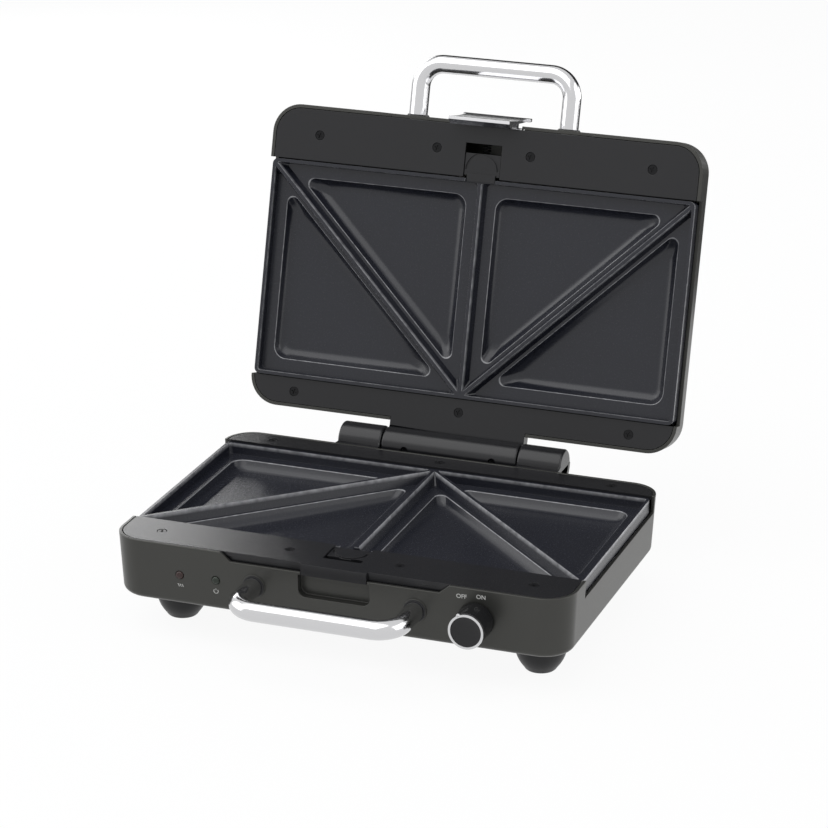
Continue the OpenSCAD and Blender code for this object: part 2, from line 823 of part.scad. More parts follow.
module base_front_bezel() {
    color(black)
        base()
            front_bezel(base_face, base_front_screws, true, base_handle_z);
}

module base_rear_bezel() {
    wide = hinge_half - barrel_half - 0.4;
    color(black)
        base() {
            bezel_plate(base_face, strip_outline(bezel_x, plate_d + plate_gap, bezel_rear, bezel_r),
                        rear_screws, plate_d + rear_screw_y);
            for (side = [0, 1])
                mirror([side, 0, 0])
                    difference() {
                        union() {
                            intersection() {
                                along_x(barrel_half + 0.4, hinge_y, -hinge_drop)
                                    cylinder(r = knuckle_r, h = wide);
                                translate([0, hinge_y - 20, -hinge_drop])
                                    cube([100, 40, 20]);
                            }
                            along_x(barrel_half + 0.4, hinge_y, -hinge_drop)
                                cylinder(r = 6, h = wide);
                            translate([barrel_half + 0.4, bezel_rear - 2, base_face - bezel_t + 0.2])
                                cube([wide, hinge_y - bezel_rear - 2, bezel_t - 0.2]);
                        }
                        along_x(barrel_half, hinge_y, -hinge_drop)
                            cylinder(r = pin_r + 0.02, h = wide - 1.1);
                    }
        }
}

module base_plate() {
    color(coating)
        base()
            cooking_plate();
}

module base_heater() {
    color(steel)
        base()
            heating_element();
}

module base_heater_clips() {
    color(steel)
        base()
            heater_clip_set();
}

module base_reflector() {
    color(steel)
        base()
            reflector_tray();
}

module base_reflector_screws() {
    color(steel)
        base()
            reflector_screw_set();
}

module thermostat() {
    color(chrome)
        base()
            disc_thermostat();
}

module thermal_fuse() {
    color("gainsboro")
        base()
            translate([0, plate_d - loop_rear - heater_r - 12.8, tray_floor]) {
                along_y(-8, 0, 2.2)
                    cylinder(r = 1.9, h = 16);
                for (y = [-5, 3])
                    translate([-3, y, 0])
                        difference() {
                            cube([6, 2, 2.2]);
                            along_y(-1, 3, 2.2)
                                cylinder(r = 1.95, h = 4);
                        }
            }
}

module base_release() {
    color(black)
        base()
            release(base_face);
}

module base_release_spring() {
    color(steel)
        base()
            release_coil(base_face);
}

module base_handle() {
    color(chrome)
        base()
            handle(base_handle_z);
}

module base_handle_collars() {
    color(black)
        base()
            collars(base_handle_z);
}

module base_handle_screws() {
    color(steel)
        base()
            handle_screw_set(base_handle_z);
}

module base_bezel_screws() {
    color(black)
        base() {
            for (x = base_front_screws)
                bezel_screw(x, -front_screw_y, base_face);
            for (x = rear_screws)
                bezel_screw(x, plate_d + rear_screw_y, base_face);
        }
}

// Bowl-shaped feet with a flat sole and a recess for the screw. Each row gives the share of the
// way from the sole's radius to the top's, and the share of the height.
module feet() {
    rows = [[0, 0], [0.09, 0.012], [0.25, 0.093], [0.46, 0.195], [0.63, 0.312], [0.76, 0.44],
            [0.87, 0.61], [0.95, 0.78], [1, 1]];
    color(rubber)
        base()
            for (at = feet_at)
                translate([at[0], at[1], -base_deep - foot_h])
                    difference() {
                        rotate_extrude()
                            polygon(concat([[0, 0]],
                                [for (row = rows)
                                    [sole_r + (foot_r - sole_r) * row[0], foot_h * row[1]]],
                                [[0, foot_h]]));
                        translate([0, 0, -1])
                            cylinder(r = 4.2, h = foot_h - 3);
                        cylinder(r = 1.85, h = foot_h + 1);
                    }
}

module foot_screws() {
    color(steel)
        base()
            for (at = feet_at)
                translate([at[0], at[1], -base_deep - 4]) {
                    translate([0, 0, -2])
                        cylinder(r = 3.6, h = 2);
                    translate([0, 0, -0.1])
                        cylinder(r = 1.8, h = 10);
                }
}

module rotary_switch() {
    color("dimgray")
        base()
            difference() {
                union() {
                    translate([knob_x - 10, switch_front, -knob_z - 8])
                        cube([20, switch_deep, 17]);
                    along_y(front_y + 0.4, knob_x, -knob_z)
                        cylinder(r = shaft_r + 1.5, h = shell_t + 2);
                    for (x = [-6, 0, 6])
                        translate([knob_x + x - 1, switch_front + switch_deep - 1, -knob_z - 4])
                            cube([2, 5, 0.8]);
                }
                along_y(front_y - 1, knob_x, -knob_z)
                    cylinder(r = shaft_r + run_clear, h = shell_t + 9);
            }
}

module switch_shaft() {
    color(steel)
        base()
            along_y(front_y - 9.6, knob_x, -knob_z)
                cylinder(r = shaft_r, h = 16.5);
}

// Glossy knob whose recessed front is framed by the ring.
module knob() {
    start = front_y - 0.4;
    color(black)
        base()
            difference() {
                along_y(start - knob_l, knob_x, -knob_z) {
                    cylinder(r = knob_r - 1.6, h = 2);
                    translate([0, 0, 1.1])
                        cylinder(r = knob_r - 0.2, h = knob_l - 2.3);
                    translate([0, 0, knob_l - 1.2])
                        cylinder(r = knob_r, h = 1.2);
                }
                along_y(start - 9.4, knob_x, -knob_z)
                    cylinder(r = shaft_r + 0.02, h = 12);
            }
}

module knob_ring() {
    color(chrome)
        base()
            along_y(front_y - 0.4 - knob_l - 0.5, knob_x, -knob_z) {
                difference() {
                    cylinder(r = knob_r - 0.2, h = 1.6);
                    translate([0, 0, -1])
                        cylinder(r = knob_r - 1.6, h = 4);
                }
                rotate([0, 0, -90 - pointer_turn])
                    translate([knob_r - 0.4, 0, 0])
                        cylinder(r = 1, h = 1.6);
            }
}

module lamp(x) {
    base() {
        along_y(front_y - 0.2, x, -lamp_z)
            cylinder(r = lamp_r, h = 9);
        along_y(front_y + shell_t + 1.3, x, -lamp_z)
            cylinder(r = lamp_r + 1.2, h = 1.5);
    }
}

module heat_lamp() {
    color("darkred")
        lamp(heat_lamp_x);
}

module power_lamp() {
    color("darkgreen")
        lamp(power_lamp_x);
}

module terminal_block() {
    floor_z = -base_deep + base_floor;
    color("ivory")
        base()
            translate([gland_x - 17, plate_d - 1, floor_z])
                difference() {
                    cube([34, 9, 11]);
                    for (x = [6, 17, 28])
                        translate([x, 4.5, 3])
                            cylinder(r = 2, h = 10);
                }
}

// Rubber gland in the rear wall, through which the mains cord goes.
module cord_gland() {
    color(rubber)
        base()
            along_y(rear_y - 5.4, gland_x, gland_z)
                difference() {
                    union() {
                        cylinder(r = 8, h = 1.7);
                        cylinder(r = 5.9, h = 8);
                        translate([0, 0, 4.8])
                            cylinder(r = 8, h = 2.6);
                    }
                    translate([0, 0, -1])
                        cylinder(r = 3.6, h = 12);
                }
}

// Stiff insulated leads: element to switch, element to terminal block, and block to switch.
module wiring() {
    low = -base_deep + base_floor + 1.3;
    pass = low + 2.8;
    tabs = -knob_z - 3.6;
    start = -12.1;
    turn = switch_front + switch_deep + 5.1;
    beside = knob_x - 13;
    back = plate_d - tray_end;
    way_in = plate_d - 1.1;
    color("firebrick")
        base() {
            lead([[lead_half, start, heater_z], [lead_half, front_y + 9.5, heater_z],
                  [beside, front_y + 9.5, heater_z], [beside, turn, heater_z],
                  [knob_x - 6, turn, heater_z], [knob_x - 6, turn, tabs]]);
            lead([[-lead_half, start, heater_z], [-lead_half, start - 5, heater_z],
                  [-lead_half, start - 5, low], [-lead_half, back, low],
                  [gland_x + 6, back, low], [gland_x + 6, way_in, low]]);
            lead([[knob_x + 6, turn - 1, tabs], [knob_x + 6, turn + 5, tabs],
                  [knob_x + 6, turn + 5, pass], [knob_x + 6, back - 5, pass],
                  [gland_x - 6, back - 5, pass], [gland_x - 6, way_in, pass]]);
        }
}

module lead(points, r = 1.1) {
    last = len(points) - 2;
    for (i = [0:last]) {
        v = points[i + 1] - points[i];
        before = i > 0 ? r : 0;
        after = i < last ? r : 0;
        translate(points[i])
            rotate([0, acos(v[2] / norm(v)), atan2(v[1], v[0])])
                translate([0, 0, -before])
                    cylinder(r = r, h = norm(v) + before + after, $fn = 8);
    }
}

module hinge_pins() {
    inner = barrel_half - 21;
    color(steel)
        base()
            for (side = [0, 1])
                mirror([side, 0, 0])
                    along_x(inner, hinge_y, -hinge_drop)
                        cylinder(r = pin_r, h = hinge_half - 1.9 - inner);
}

// Lid

module lid_shell() {
    color(paint)
        lid()
            difference() {
                union() {
                    housing(-lid_face, lid_deep, lid_draft, lid_edge_r, shell_t,
                            lid_front_screws, -lid_face - bezel_t + 0.1, latch_end);
                    handle_pads(lid_handle_z);
                }
                translate([-pocket_w, front_y - 1, -lid_face - bezel_t - 3])
                    cube([2 * pocket_w, shell_t + 2, bezel_t + 6]);
                handle_holes(lid_handle_z);
                along_x(-pocket_w - liner_t - 1, hub_y, hub_z)
                    cylinder(r = latch_pin_r + 0.05, h = 2 * (pocket_w + liner_t + 1));
                translate([-barrel_half - 0.3, rear_y - shell_t - 1, neck_low - 0.3])
                    cube([2 * barrel_half + 0.6, 10, 20]);
            }
}

module lid_front_bezel() {
    color(black)
        lid()
            front_bezel(-lid_face, lid_front_screws, false, lid_handle_z);
}

// The rear strip with the neck and the barrel that turns on the pins.
module lid_rear_bezel() {
    color(black)
        lid()
            difference() {
                union() {
                    bezel_plate(-lid_face,
                                strip_outline(bezel_x, plate_d + plate_gap, bezel_rear, bezel_r),
                                rear_screws, plate_d + rear_screw_y);
                    along_x(-barrel_half, hinge_y, axis_z)
                        cylinder(r = barrel_r, h = 2 * barrel_half);
                    translate([-barrel_half, bezel_rear - 2, neck_low])
                        cube([2 * barrel_half, hinge_y - bezel_rear + 2, -lid_face - neck_low]);
                }
                along_x(-barrel_half - 1, hinge_y, axis_z)
                    cylinder(r = pin_r + run_clear, h = 2 * barrel_half + 2);
                on_barrel() {
                    cylinder(r = 1.3, h = barrel_r);
                    translate([0, 0, barrel_r - 1.9])
                        cylinder(r = 2.15, h = 3);
                }
            }
}

// The two places on the barrel where its screws go in.
module on_barrel() {
    for (x = [-barrel_screw_x, barrel_screw_x])
        translate([x, hinge_y, axis_z])
            rotate([-barrel_screw_tilt, 0, 0])
                children();
}

module barrel_screws() {
    color(black)
        lid()
            on_barrel()
                difference() {
                    union() {
                        translate([0, 0, barrel_r - 1.9])
                            cylinder(r = 1.9, h = 1.1);
                        translate([0, 0, pin_r + 0.8])
                            cylinder(r = 1.25, h = barrel_r - pin_r - 2.6);
                    }
                    for (turn = [20, 110])
                        translate([0, 0, barrel_r - 1.4])
                            rotate([0, 0, turn])
                                translate([-1.2, -0.25, 0])
                                    cube([2.4, 0.5, 2]);
                }
}

module lid_plate() {
    color(coating)
        lid()
            cooking_plate();
}

module lid_heater() {
    color(steel)
        lid()
            heating_element();
}

module lid_heater_clips() {
    color(steel)
        lid()
            heater_clip_set();
}

module lid_reflector() {
    color(steel)
        lid()
            reflector_tray();
}

module lid_reflector_screws() {
    color(steel)
        lid()
            reflector_screw_set();
}

module lid_cutout() {
    color(chrome)
        lid()
            disc_thermostat();
}

module lid_release() {
    color(black)
        lid()
            release(-lid_face);
}

module lid_release_spring() {
    color(steel)
        lid()
            release_coil(-lid_face);
}

module lid_handle() {
    color(chrome)
        lid()
            handle(lid_handle_z);
}

module lid_handle_collars() {
    color(black)
        lid()
            collars(lid_handle_z);
}

module lid_handle_screws() {
    color(steel)
        lid()
            handle_screw_set(lid_handle_z);
}

module lid_bezel_screws() {
    color(black)
        lid() {
            for (x = lid_front_screws)
                bezel_screw(x, -front_screw_y, -lid_face);
            for (x = rear_screws)
                bezel_screw(x, plate_d + rear_screw_y, -lid_face);
        }
}

// The latch lever: a hollow-fronted plate with a finger lip at one end and a hook at the other.
// Its section is drawn from the hook, past the base's rim plane, to the lip.
module latch() {
    tip = rim_gap + hook_reach;
    face_in = front_y - 0.4;
    top = latch_end + 0.4;
    span = tip + top;
    outer = [for (i = [0:8])
        [face_in - latch_t - 2.2 * pow(i / 8, 2), tip - span * i / 8]];
    inner = [for (i = [8:-1:0])
        [face_in - 2.2 * pow(i / 8, 2), tip - span * i / 8]];
    color(chrome)
        lid()
            difference() {
                union() {
                    across(latch_w)
                        polygon(concat(outer, inner));
                    across(latch_w)
                        polygon([[face_in - 0.1, tip], [face_in - 0.1, keeper_h - base_face + rim_gap + 0.6],
                                 [face_in + 2.5, keeper_h - base_face + rim_gap + 0.6],
                                 [face_in + 2.5, tip - 3.4], [face_in, tip]]);
                    across(lip_w)
                        polygon([[face_in - 2.2 - latch_t, -top], [face_in - 2.2, -top],
                                 [face_in - 1.75, -top + 2.4], [face_in - 1.75 - latch_t, -top + 2.4]]);
                    for (x = [-latch_w + 1.2, latch_w - 5.2])
                        translate([x, 0, 0]) {
                            along_x(0, hub_y, hub_z)
                                cylinder(r = hub_r, h = 4);
                            translate([0, face_in - latch_t, hub_z - hub_r])
                                cube([4, hub_y - face_in + latch_t, 2 * hub_r]);
                        }
                }
                along_x(-pocket_w - 2, hub_y, hub_z)
                    cylinder(r = latch_pin_r + run_clear, h = 2 * pocket_w + 4);
            }
}

// Extrudes a section drawn in (y, z) across the width, w to each side of the middle.
module across(w) {
    translate([-w, 0, 0])
        rotate([90, 0, 90])
            linear_extrude(2 * w)
                children();
}

module latch_pin() {
    half = pocket_w + liner_t - 0.2;
    color(steel)
        lid()
            along_x(-half, hub_y, hub_z)
                cylinder(r = latch_pin_r, h = 2 * half);
}

module latch_spring() {
    color(steel)
        lid()
            translate([-5, hub_y, hub_z])
                rotate([0, 0, -90])
                    coil(10, 5, latch_pin_r + 0.37, 0.3);
}

base_shell();
base_front_bezel();
base_rear_bezel();
base_plate();
base_heater();
base_heater_clips();
base_reflector();
base_reflector_screws();
thermostat();
thermal_fuse();
base_release();
base_release_spring();
base_handle();
base_handle_collars();
base_handle_screws();
base_bezel_screws();
feet();
foot_screws();
rotary_switch();
switch_shaft();
knob();
knob_ring();
heat_lamp();
power_lamp();
terminal_block();
cord_gland();
wiring();
hinge_pins();
lid_shell();
lid_front_bezel();
lid_rear_bezel();
barrel_screws();
lid_plate();
lid_heater();
lid_heater_clips();
lid_reflector();
lid_reflector_screws();
lid_cutout();
lid_release();
lid_release_spring();
lid_handle();
lid_handle_collars();
lid_handle_screws();
lid_bezel_screws();
latch();
latch_pin();
latch_spring();
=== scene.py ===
import math
import bmesh
import bpy
from mathutils import Matrix, Vector


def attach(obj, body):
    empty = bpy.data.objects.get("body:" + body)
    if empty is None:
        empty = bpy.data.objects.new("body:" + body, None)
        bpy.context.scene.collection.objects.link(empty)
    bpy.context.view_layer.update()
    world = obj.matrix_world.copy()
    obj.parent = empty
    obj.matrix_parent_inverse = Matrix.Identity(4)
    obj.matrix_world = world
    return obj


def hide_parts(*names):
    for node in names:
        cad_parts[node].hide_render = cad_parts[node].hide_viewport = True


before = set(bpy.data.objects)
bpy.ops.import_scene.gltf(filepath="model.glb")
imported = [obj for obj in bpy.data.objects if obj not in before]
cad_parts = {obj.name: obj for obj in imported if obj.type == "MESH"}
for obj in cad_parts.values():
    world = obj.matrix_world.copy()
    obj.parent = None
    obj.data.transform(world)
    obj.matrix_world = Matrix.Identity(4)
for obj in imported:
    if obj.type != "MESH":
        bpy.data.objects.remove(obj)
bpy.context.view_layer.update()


# Studio
# A photographer's table: a white sweep that keeps a soft shadow, large soft boxes above and at
# both sides, and the long lens the photograph was taken with, looking down from the right.
scene = bpy.context.scene
scene.view_settings.view_transform = "Standard"


def looked_at(tree):
    """One for a ray of the camera, or one through glass or off metal, and nought for others."""
    path = tree.nodes.new("ShaderNodeLightPath")
    through = tree.nodes.new("ShaderNodeMath")
    through.operation = "MAXIMUM"
    tree.links.new(path.outputs["Is Camera Ray"], through.inputs[0])
    tree.links.new(path.outputs["Is Transmission Ray"], through.inputs[1])
    seen = tree.nodes.new("ShaderNodeMath")
    seen.operation = "MAXIMUM"
    tree.links.new(through.outputs[0], seen.inputs[0])
    tree.links.new(path.outputs["Is Glossy Ray"], seen.inputs[1])
    return seen.outputs[0]


world = bpy.data.worlds.new("white room")
scene.world = world
world.use_nodes = True
tree = world.node_tree
tree.nodes.clear()
seen = looked_at(tree)
room = tree.nodes.new("ShaderNodeBackground")
room.inputs["Color"].default_value = (0.93, 0.96, 1.0, 1)
room.inputs["Strength"].default_value = 0.34
white = tree.nodes.new("ShaderNodeBackground")
white.inputs["Color"].default_value = (1, 1, 1, 1)
white.inputs["Strength"].default_value = 1.0
either = tree.nodes.new("ShaderNodeMixShader")
tree.links.new(seen, either.inputs[0])
tree.links.new(room.outputs[0], either.inputs[1])
tree.links.new(white.outputs[0], either.inputs[2])
out = tree.nodes.new("ShaderNodeOutputWorld")
tree.links.new(either.outputs[0], out.inputs[0])

sweep = bmesh.new()
bmesh.ops.create_grid(sweep, x_segments=1, y_segments=1, size=4.0)
floor_mesh = bpy.data.meshes.new("floor")
sweep.to_mesh(floor_mesh)
sweep.free()
floor = bpy.data.objects.new("floor", floor_mesh)
scene.collection.objects.link(floor)
paper = bpy.data.materials.new("white paper")
paper.use_nodes = True
tree = paper.node_tree
tree.nodes.clear()
matt = tree.nodes.new("ShaderNodeBsdfDiffuse")
matt.inputs["Color"].default_value = (0.9, 0.9, 0.9, 1)
glow = tree.nodes.new("ShaderNodeEmission")
glow.inputs["Color"].default_value = (1, 1, 1, 1)
glow.inputs["Strength"].default_value = 1.0
lit = tree.nodes.new("ShaderNodeMixShader")
lit.inputs[0].default_value = 0.93
tree.links.new(matt.outputs[0], lit.inputs[1])
tree.links.new(glow.outputs[0], lit.inputs[2])
pick = tree.nodes.new("ShaderNodeMixShader")
tree.links.new(looked_at(tree), pick.inputs[0])
tree.links.new(matt.outputs[0], pick.inputs[1])
tree.links.new(lit.outputs[0], pick.inputs[2])
out = tree.nodes.new("ShaderNodeOutputMaterial")
tree.links.new(pick.outputs[0], out.inputs[0])
floor_mesh.materials.append(paper)


def soft_box(name, place, aim, width, height, watts):
    lamp = bpy.data.lights.new(name, "AREA")
    lamp.shape = "RECTANGLE"
    lamp.size = width
    lamp.size_y = height
    lamp.energy = watts
    box = bpy.data.objects.new(name, lamp)
    box.location = place
    box.rotation_euler = (Vector(aim) - Vector(place)).to_track_quat("-Z", "Y").to_euler()
    scene.collection.objects.link(box)


soft_box("top box", (-0.35, -0.6, 1.6), (0, 0, 0.1), 2.4, 1.8, 22)
soft_box("left box", (-1.7, -0.4, 0.85), (0, 0, 0.1), 1.8, 1.5, 12)
soft_box("right box", (1.7, 0.1, 0.75), (0, 0, 0.12), 1.5, 1.4, 10)
soft_box("back left box", (-0.85, 0.95, 0.42), (-0.1, 0, 0.1), 0.6, 0.5, 3.5)
soft_box("back right box", (1.15, 1.15, 0.3), (0.1, 0, 0.1), 0.7, 0.55, 5)


def black_card(name, place, aim, width, height):
    """A flag that only polished and glossy surfaces see, for the dark lines in them."""
    flag = bmesh.new()
    bmesh.ops.create_grid(flag, x_segments=1, y_segments=1, size=0.5)
    bmesh.ops.scale(flag, vec=(width, height, 1), verts=flag.verts)
    turn = (Vector(aim) - Vector(place)).to_track_quat("Z", "Y").to_matrix().to_4x4()
    bmesh.ops.transform(flag, matrix=Matrix.Translation(place) @ turn, verts=flag.verts)
    mesh = bpy.data.meshes.new(name)
    flag.to_mesh(mesh)
    flag.free()
    mesh.materials.append(cloth)
    card = bpy.data.objects.new(name, mesh)
    scene.collection.objects.link(card)
    card.visible_camera = False
    card.visible_diffuse = False
    card.visible_transmission = False
    card.visible_shadow = False


cloth = bpy.data.materials.new("black cloth")
cloth.use_nodes = True
cloth.node_tree.nodes["Principled BSDF"].inputs["Base Color"].default_value = (0.02, 0.02, 0.02, 1)
cloth.node_tree.nodes["Principled BSDF"].inputs["Roughness"].default_value = 0.9
black_card("back flag", (0, 1.8, 0.95), (0, 0, 0.4), 3.6, 1.9)
black_card("floor flag", (0, 1.05, 0.002), (0, 1.05, 1), 2.4, 1.1)

camera = bpy.data.cameras.new("camera")
camera.sensor_width = 36
camera.lens = 147.64
camera.clip_start = 0.1
camera.clip_end = 50
eye = bpy.data.objects.new("camera", camera)
eye.location = (0.56728, -1.55349, 0.70608)
eye.rotation_euler = [math.radians(a) for a in (69.7878, -0.2403, 20.0620)]
scene.collection.objects.link(eye)
scene.camera = eye


# Feet
# Four black moulded feet like shallow bowls, each with a flat sole and a deep recess in which
# its screw sits. They are turned shapes, screwed up into bosses in the base.
STAND = 52.0
MIDDLE = 77.6397
ON_TABLE = Matrix.Scale(0.001, 4) @ Matrix.Translation((0, -MIDDLE, STAND))


def finish(name, colour, rough, metal=0.0, vary=0.12, grain=900.0, bump=0.05, rough_vary=0.08,
           depth=0.0002, shine=0.3):
    """A moulded, coated or plated surface: the colour drifts slowly and a fine grain breaks up
    the gloss and lifts the surface a little."""
    made = bpy.data.materials.new(name)
    made.use_nodes = True
    nodes, links = made.node_tree.nodes, made.node_tree.links
    shader = nodes["Principled BSDF"]
    shader.inputs["Metallic"].default_value = metal
    shader.inputs["Specular IOR Level"].default_value = shine
    where = nodes.new("ShaderNodeTexCoord")
    slow = nodes.new("ShaderNodeTexNoise")
    slow.inputs["Scale"].default_value = 22.0
    slow.inputs["Detail"].default_value = 4.0
    links.new(where.outputs["Object"], slow.inputs["Vector"])
    tint = nodes.new("ShaderNodeMix")
    tint.data_type = "RGBA"
    tint.inputs[6].default_value = (*[c * (1 - vary) for c in colour], 1)
    tint.inputs[7].default_value = (*[min(1, c * (1 + vary)) for c in colour], 1)
    links.new(slow.outputs["Fac"], tint.inputs[0])
    links.new(tint.outputs[2], shader.inputs["Base Color"])
    fine = nodes.new("ShaderNodeTexNoise")
    fine.inputs["Scale"].default_value = grain
    fine.inputs["Detail"].default_value = 3.0
    links.new(where.outputs["Object"], fine.inputs["Vector"])
    gloss = nodes.new("ShaderNodeMapRange")
    gloss.inputs["To Min"].default_value = max(0.02, rough - rough_vary)
    gloss.inputs["To Max"].default_value = rough + rough_vary
    links.new(fine.outputs["Fac"], gloss.inputs["Value"])
    links.new(gloss.outputs["Result"], shader.inputs["Roughness"])
    lift = nodes.new("ShaderNodeBump")
    lift.inputs["Strength"].default_value = bump
    lift.inputs["Distance"].default_value = depth
    links.new(fine.outputs["Fac"], lift.inputs["Height"])
    links.new(lift.outputs["Normal"], shader.inputs["Normal"])
    return made


def piece(bm, name, body, material, nodes=(), place=None, inside_out=False, edge=0.0):
    """Puts a modelled shape into the scene at its place, smooth shaded, on its body."""
    if place is not None:
        bmesh.ops.transform(bm, matrix=place, verts=bm.verts)
    if inside_out:
        bmesh.ops.reverse_faces(bm, faces=bm.faces)
    for face in bm.faces:
        face.smooth = True
    mesh = bpy.data.meshes.new(name)
    bm.to_mesh(mesh)
    bm.free()
    mesh.set_sharp_from_angle(angle=math.radians(38))
    mesh.materials.append(material)
    obj = bpy.data.objects.new(name, mesh)
    scene.collection.objects.link(obj)
    if edge:
        round_off = obj.modifiers.new("softened edges", "BEVEL")
        round_off.width = edge
        round_off.segments = 2
        round_off.limit_method = "ANGLE"
        round_off.angle_limit = math.radians(38)
        round_off.use_clamp_overlap = True
    even = obj.modifiers.new("even shading", "WEIGHTED_NORMAL")
    even.keep_sharp = not edge
    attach(obj, body)
    if nodes:
        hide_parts(*nodes)
    return obj


foot_rubber = finish("black foot rubber", (0.012, 0.012, 0.013), 0.42, bump=0.12, grain=1400)


def turned(bm, profile, centre, axis, steps):
    """Spins an open profile, given as points, once round an axis."""
    chain = [bm.verts.new(p) for p in profile]
    edges = [bm.edges.new(pair) for pair in zip(chain, chain[1:])]
    bmesh.ops.spin(bm, geom=chain + edges, cent=centre, axis=axis, angle=math.tau, steps=steps,
                   use_merge=True, use_duplicate=False)
    bmesh.ops.remove_doubles(bm, verts=bm.verts, dist=1e-5)
    bmesh.ops.dissolve_degenerate(bm, edges=bm.edges, dist=1e-5)


FOOT_X = 97.5
FOOT_ROWS = (4.0, 117.0)
foot_shape = [(4.2, 17.5), (4.2, 0.6), (4.8, 0), (6.9, 0), (7.5, 0.15), (8.05, 0.65),
              (8.9, 1.9), (9.7, 2.95), (10.45, 4.0), (11.15, 5.2), (11.75, 6.4), (12.3, 7.7),
              (12.7, 9.0), (13.15, 10.7), (13.5, 12.5), (13.85, 14.3), (14.1, 16.0),
              (14.35, 18.3), (14.5, 20.5), (1.85, 20.5), (1.85, 17.5), (4.2, 17.5)]
feet = bmesh.new()
for x in (-FOOT_X, FOOT_X):
    for y in FOOT_ROWS:
        turned(feet, [(x + r, y, h - STAND) for r, h in foot_shape], (x, y, 0), (0, 0, 1), 56)
bmesh.ops.recalc_face_normals(feet, faces=feet.faces)
piece(feet, "feet_turned", "base", foot_rubber, ["feet"], ON_TABLE)


def dressed(node, material):
    """A CAD piece whose shape is right keeps its solid and gets its finish."""
    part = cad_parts[node]
    part.data.materials.clear()
    part.data.materials.append(material)


zinc_steel = finish("zinc plated steel", (0.55, 0.55, 0.56), 0.32, metal=1.0, bump=0.04)
dressed("foot_screws", zinc_steel)


# Housings of base and lid
# Two moulded tubs in dark pearl grey paint: drafted walls, a lowered edge along both sides where
# the cooking plate shows, a long shallow notch in the front and a pocket for the latch in it.
HINGE_Y = 147.15
HINGE_Z = -0.7
OPEN = 105.2
ON_LID = (ON_TABLE @ Matrix.Translation((0, HINGE_Y, HINGE_Z))
          @ Matrix.Rotation(math.radians(-OPEN), 4, "X")
          @ Matrix.Translation((0, -HINGE_Y, -HINGE_Z + 0.4)) @ Matrix.Scale(-1, 4, (0, 0, 1)))
HALVES = {"base": (ON_TABLE, False), "lid": (ON_LID, True)}

pearl = finish("dark pearl paint", (0.055, 0.055, 0.051), 0.34, metal=0.55, vary=0.06,
               grain=2600, bump=0.06, rough_vary=0.07)
HALF_WIDE = 122.0
FRONT = -31.5
BACK = 134.5
SIDE_FRONT = -1.5
SIDE_BACK = 118.5
SIDE_EDGE = -8.4
NOTCH_TOP = 61.0
NOTCH_LOW = 55.5
NOTCH_DEEP = 4.6
POCKET_HALF = 19
POCKET_IN = 5.5
POCKET_CORNER = 4
KEEPER_HALF = 17.7
NECK_HALF = 38.9
LUG_START = 39
LUG_WIDE = 24.6
LUG_R = 9.5
HANDLE_X = 43
HANDLE_Z = {"base": -15.0, "lid": -13.6}
PAD_R = 6.2
PAD_THICK = 2.6
KNOB = (75.0, -15.2)
HEAT_X = -83.5
POWER_X = -63.7
LAMP_Z = -15.0
GLAND = (-61.0, -20.0)


def slice_off(bm, point, normal, gone):
    """Cuts every wall along a plane, and then takes out the faces that gone() picks."""
    bmesh.ops.bisect_plane(bm, geom=bm.verts[:] + bm.edges[:] + bm.faces[:], dist=1e-4,
                           plane_co=point, plane_no=normal)
    if gone:
        waste = [f for f in bm.faces if gone(f.calc_center_median())]
        bmesh.ops.delete(bm, geom=waste, context="FACES")


def part_off(bm, near, *planes):
    """Cuts only the flat wall piece that holds a point, once for each plane."""
    for co, no in planes:
        hit = [f for f in bm.faces if near(f)]
        geom = set(hit)
        for f in hit:
            geom.update(f.edges)
            geom.update(f.verts)
        bmesh.ops.bisect_plane(bm, geom=list(geom), dist=1e-4, plane_co=co, plane_no=no)


def round_hole(bm, y, x, z, r):
    """A round hole through the front or rear wall: a square is parted off around it and given
    a finer border, which is then drawn to a circle."""
    reach = r + 1.2

    def near(f):
        xs = [v.co.x for v in f.verts]
        zs = [v.co.z for v in f.verts]
        return (abs(f.normal.y) > 0.9 and abs(f.calc_center_median().y - y) < 6
                and min(xs) < x < max(xs) and min(zs) < z < max(zs))

    part_off(bm, near, ((0, 0, z - reach), (0, 0, 1)), ((0, 0, z + reach), (0, 0, 1)),
             ((x - reach, 0, 0), (1, 0, 0)), ((x + reach, 0, 0), (1, 0, 0)))
    square = min((f for f in bm.faces if near(f)), key=lambda f: f.calc_area())
    level_y = square.calc_center_median().y
    lean = -square.normal.z / square.normal.y
    bmesh.ops.subdivide_edges(bm, edges=list(square.edges), cuts=5)
    square = min((f for f in bm.faces if near(f)), key=lambda f: f.calc_area())
    bmesh.ops.inset_individual(bm, faces=[square], thickness=0.3)
    for vert in square.verts:
        away = Vector((vert.co.x - x, vert.co.z - z)).normalized() * r
        vert.co = (x + away.x, level_y + lean * away.y, z + away.y)
    bmesh.ops.delete(bm, geom=[square], context="FACES")


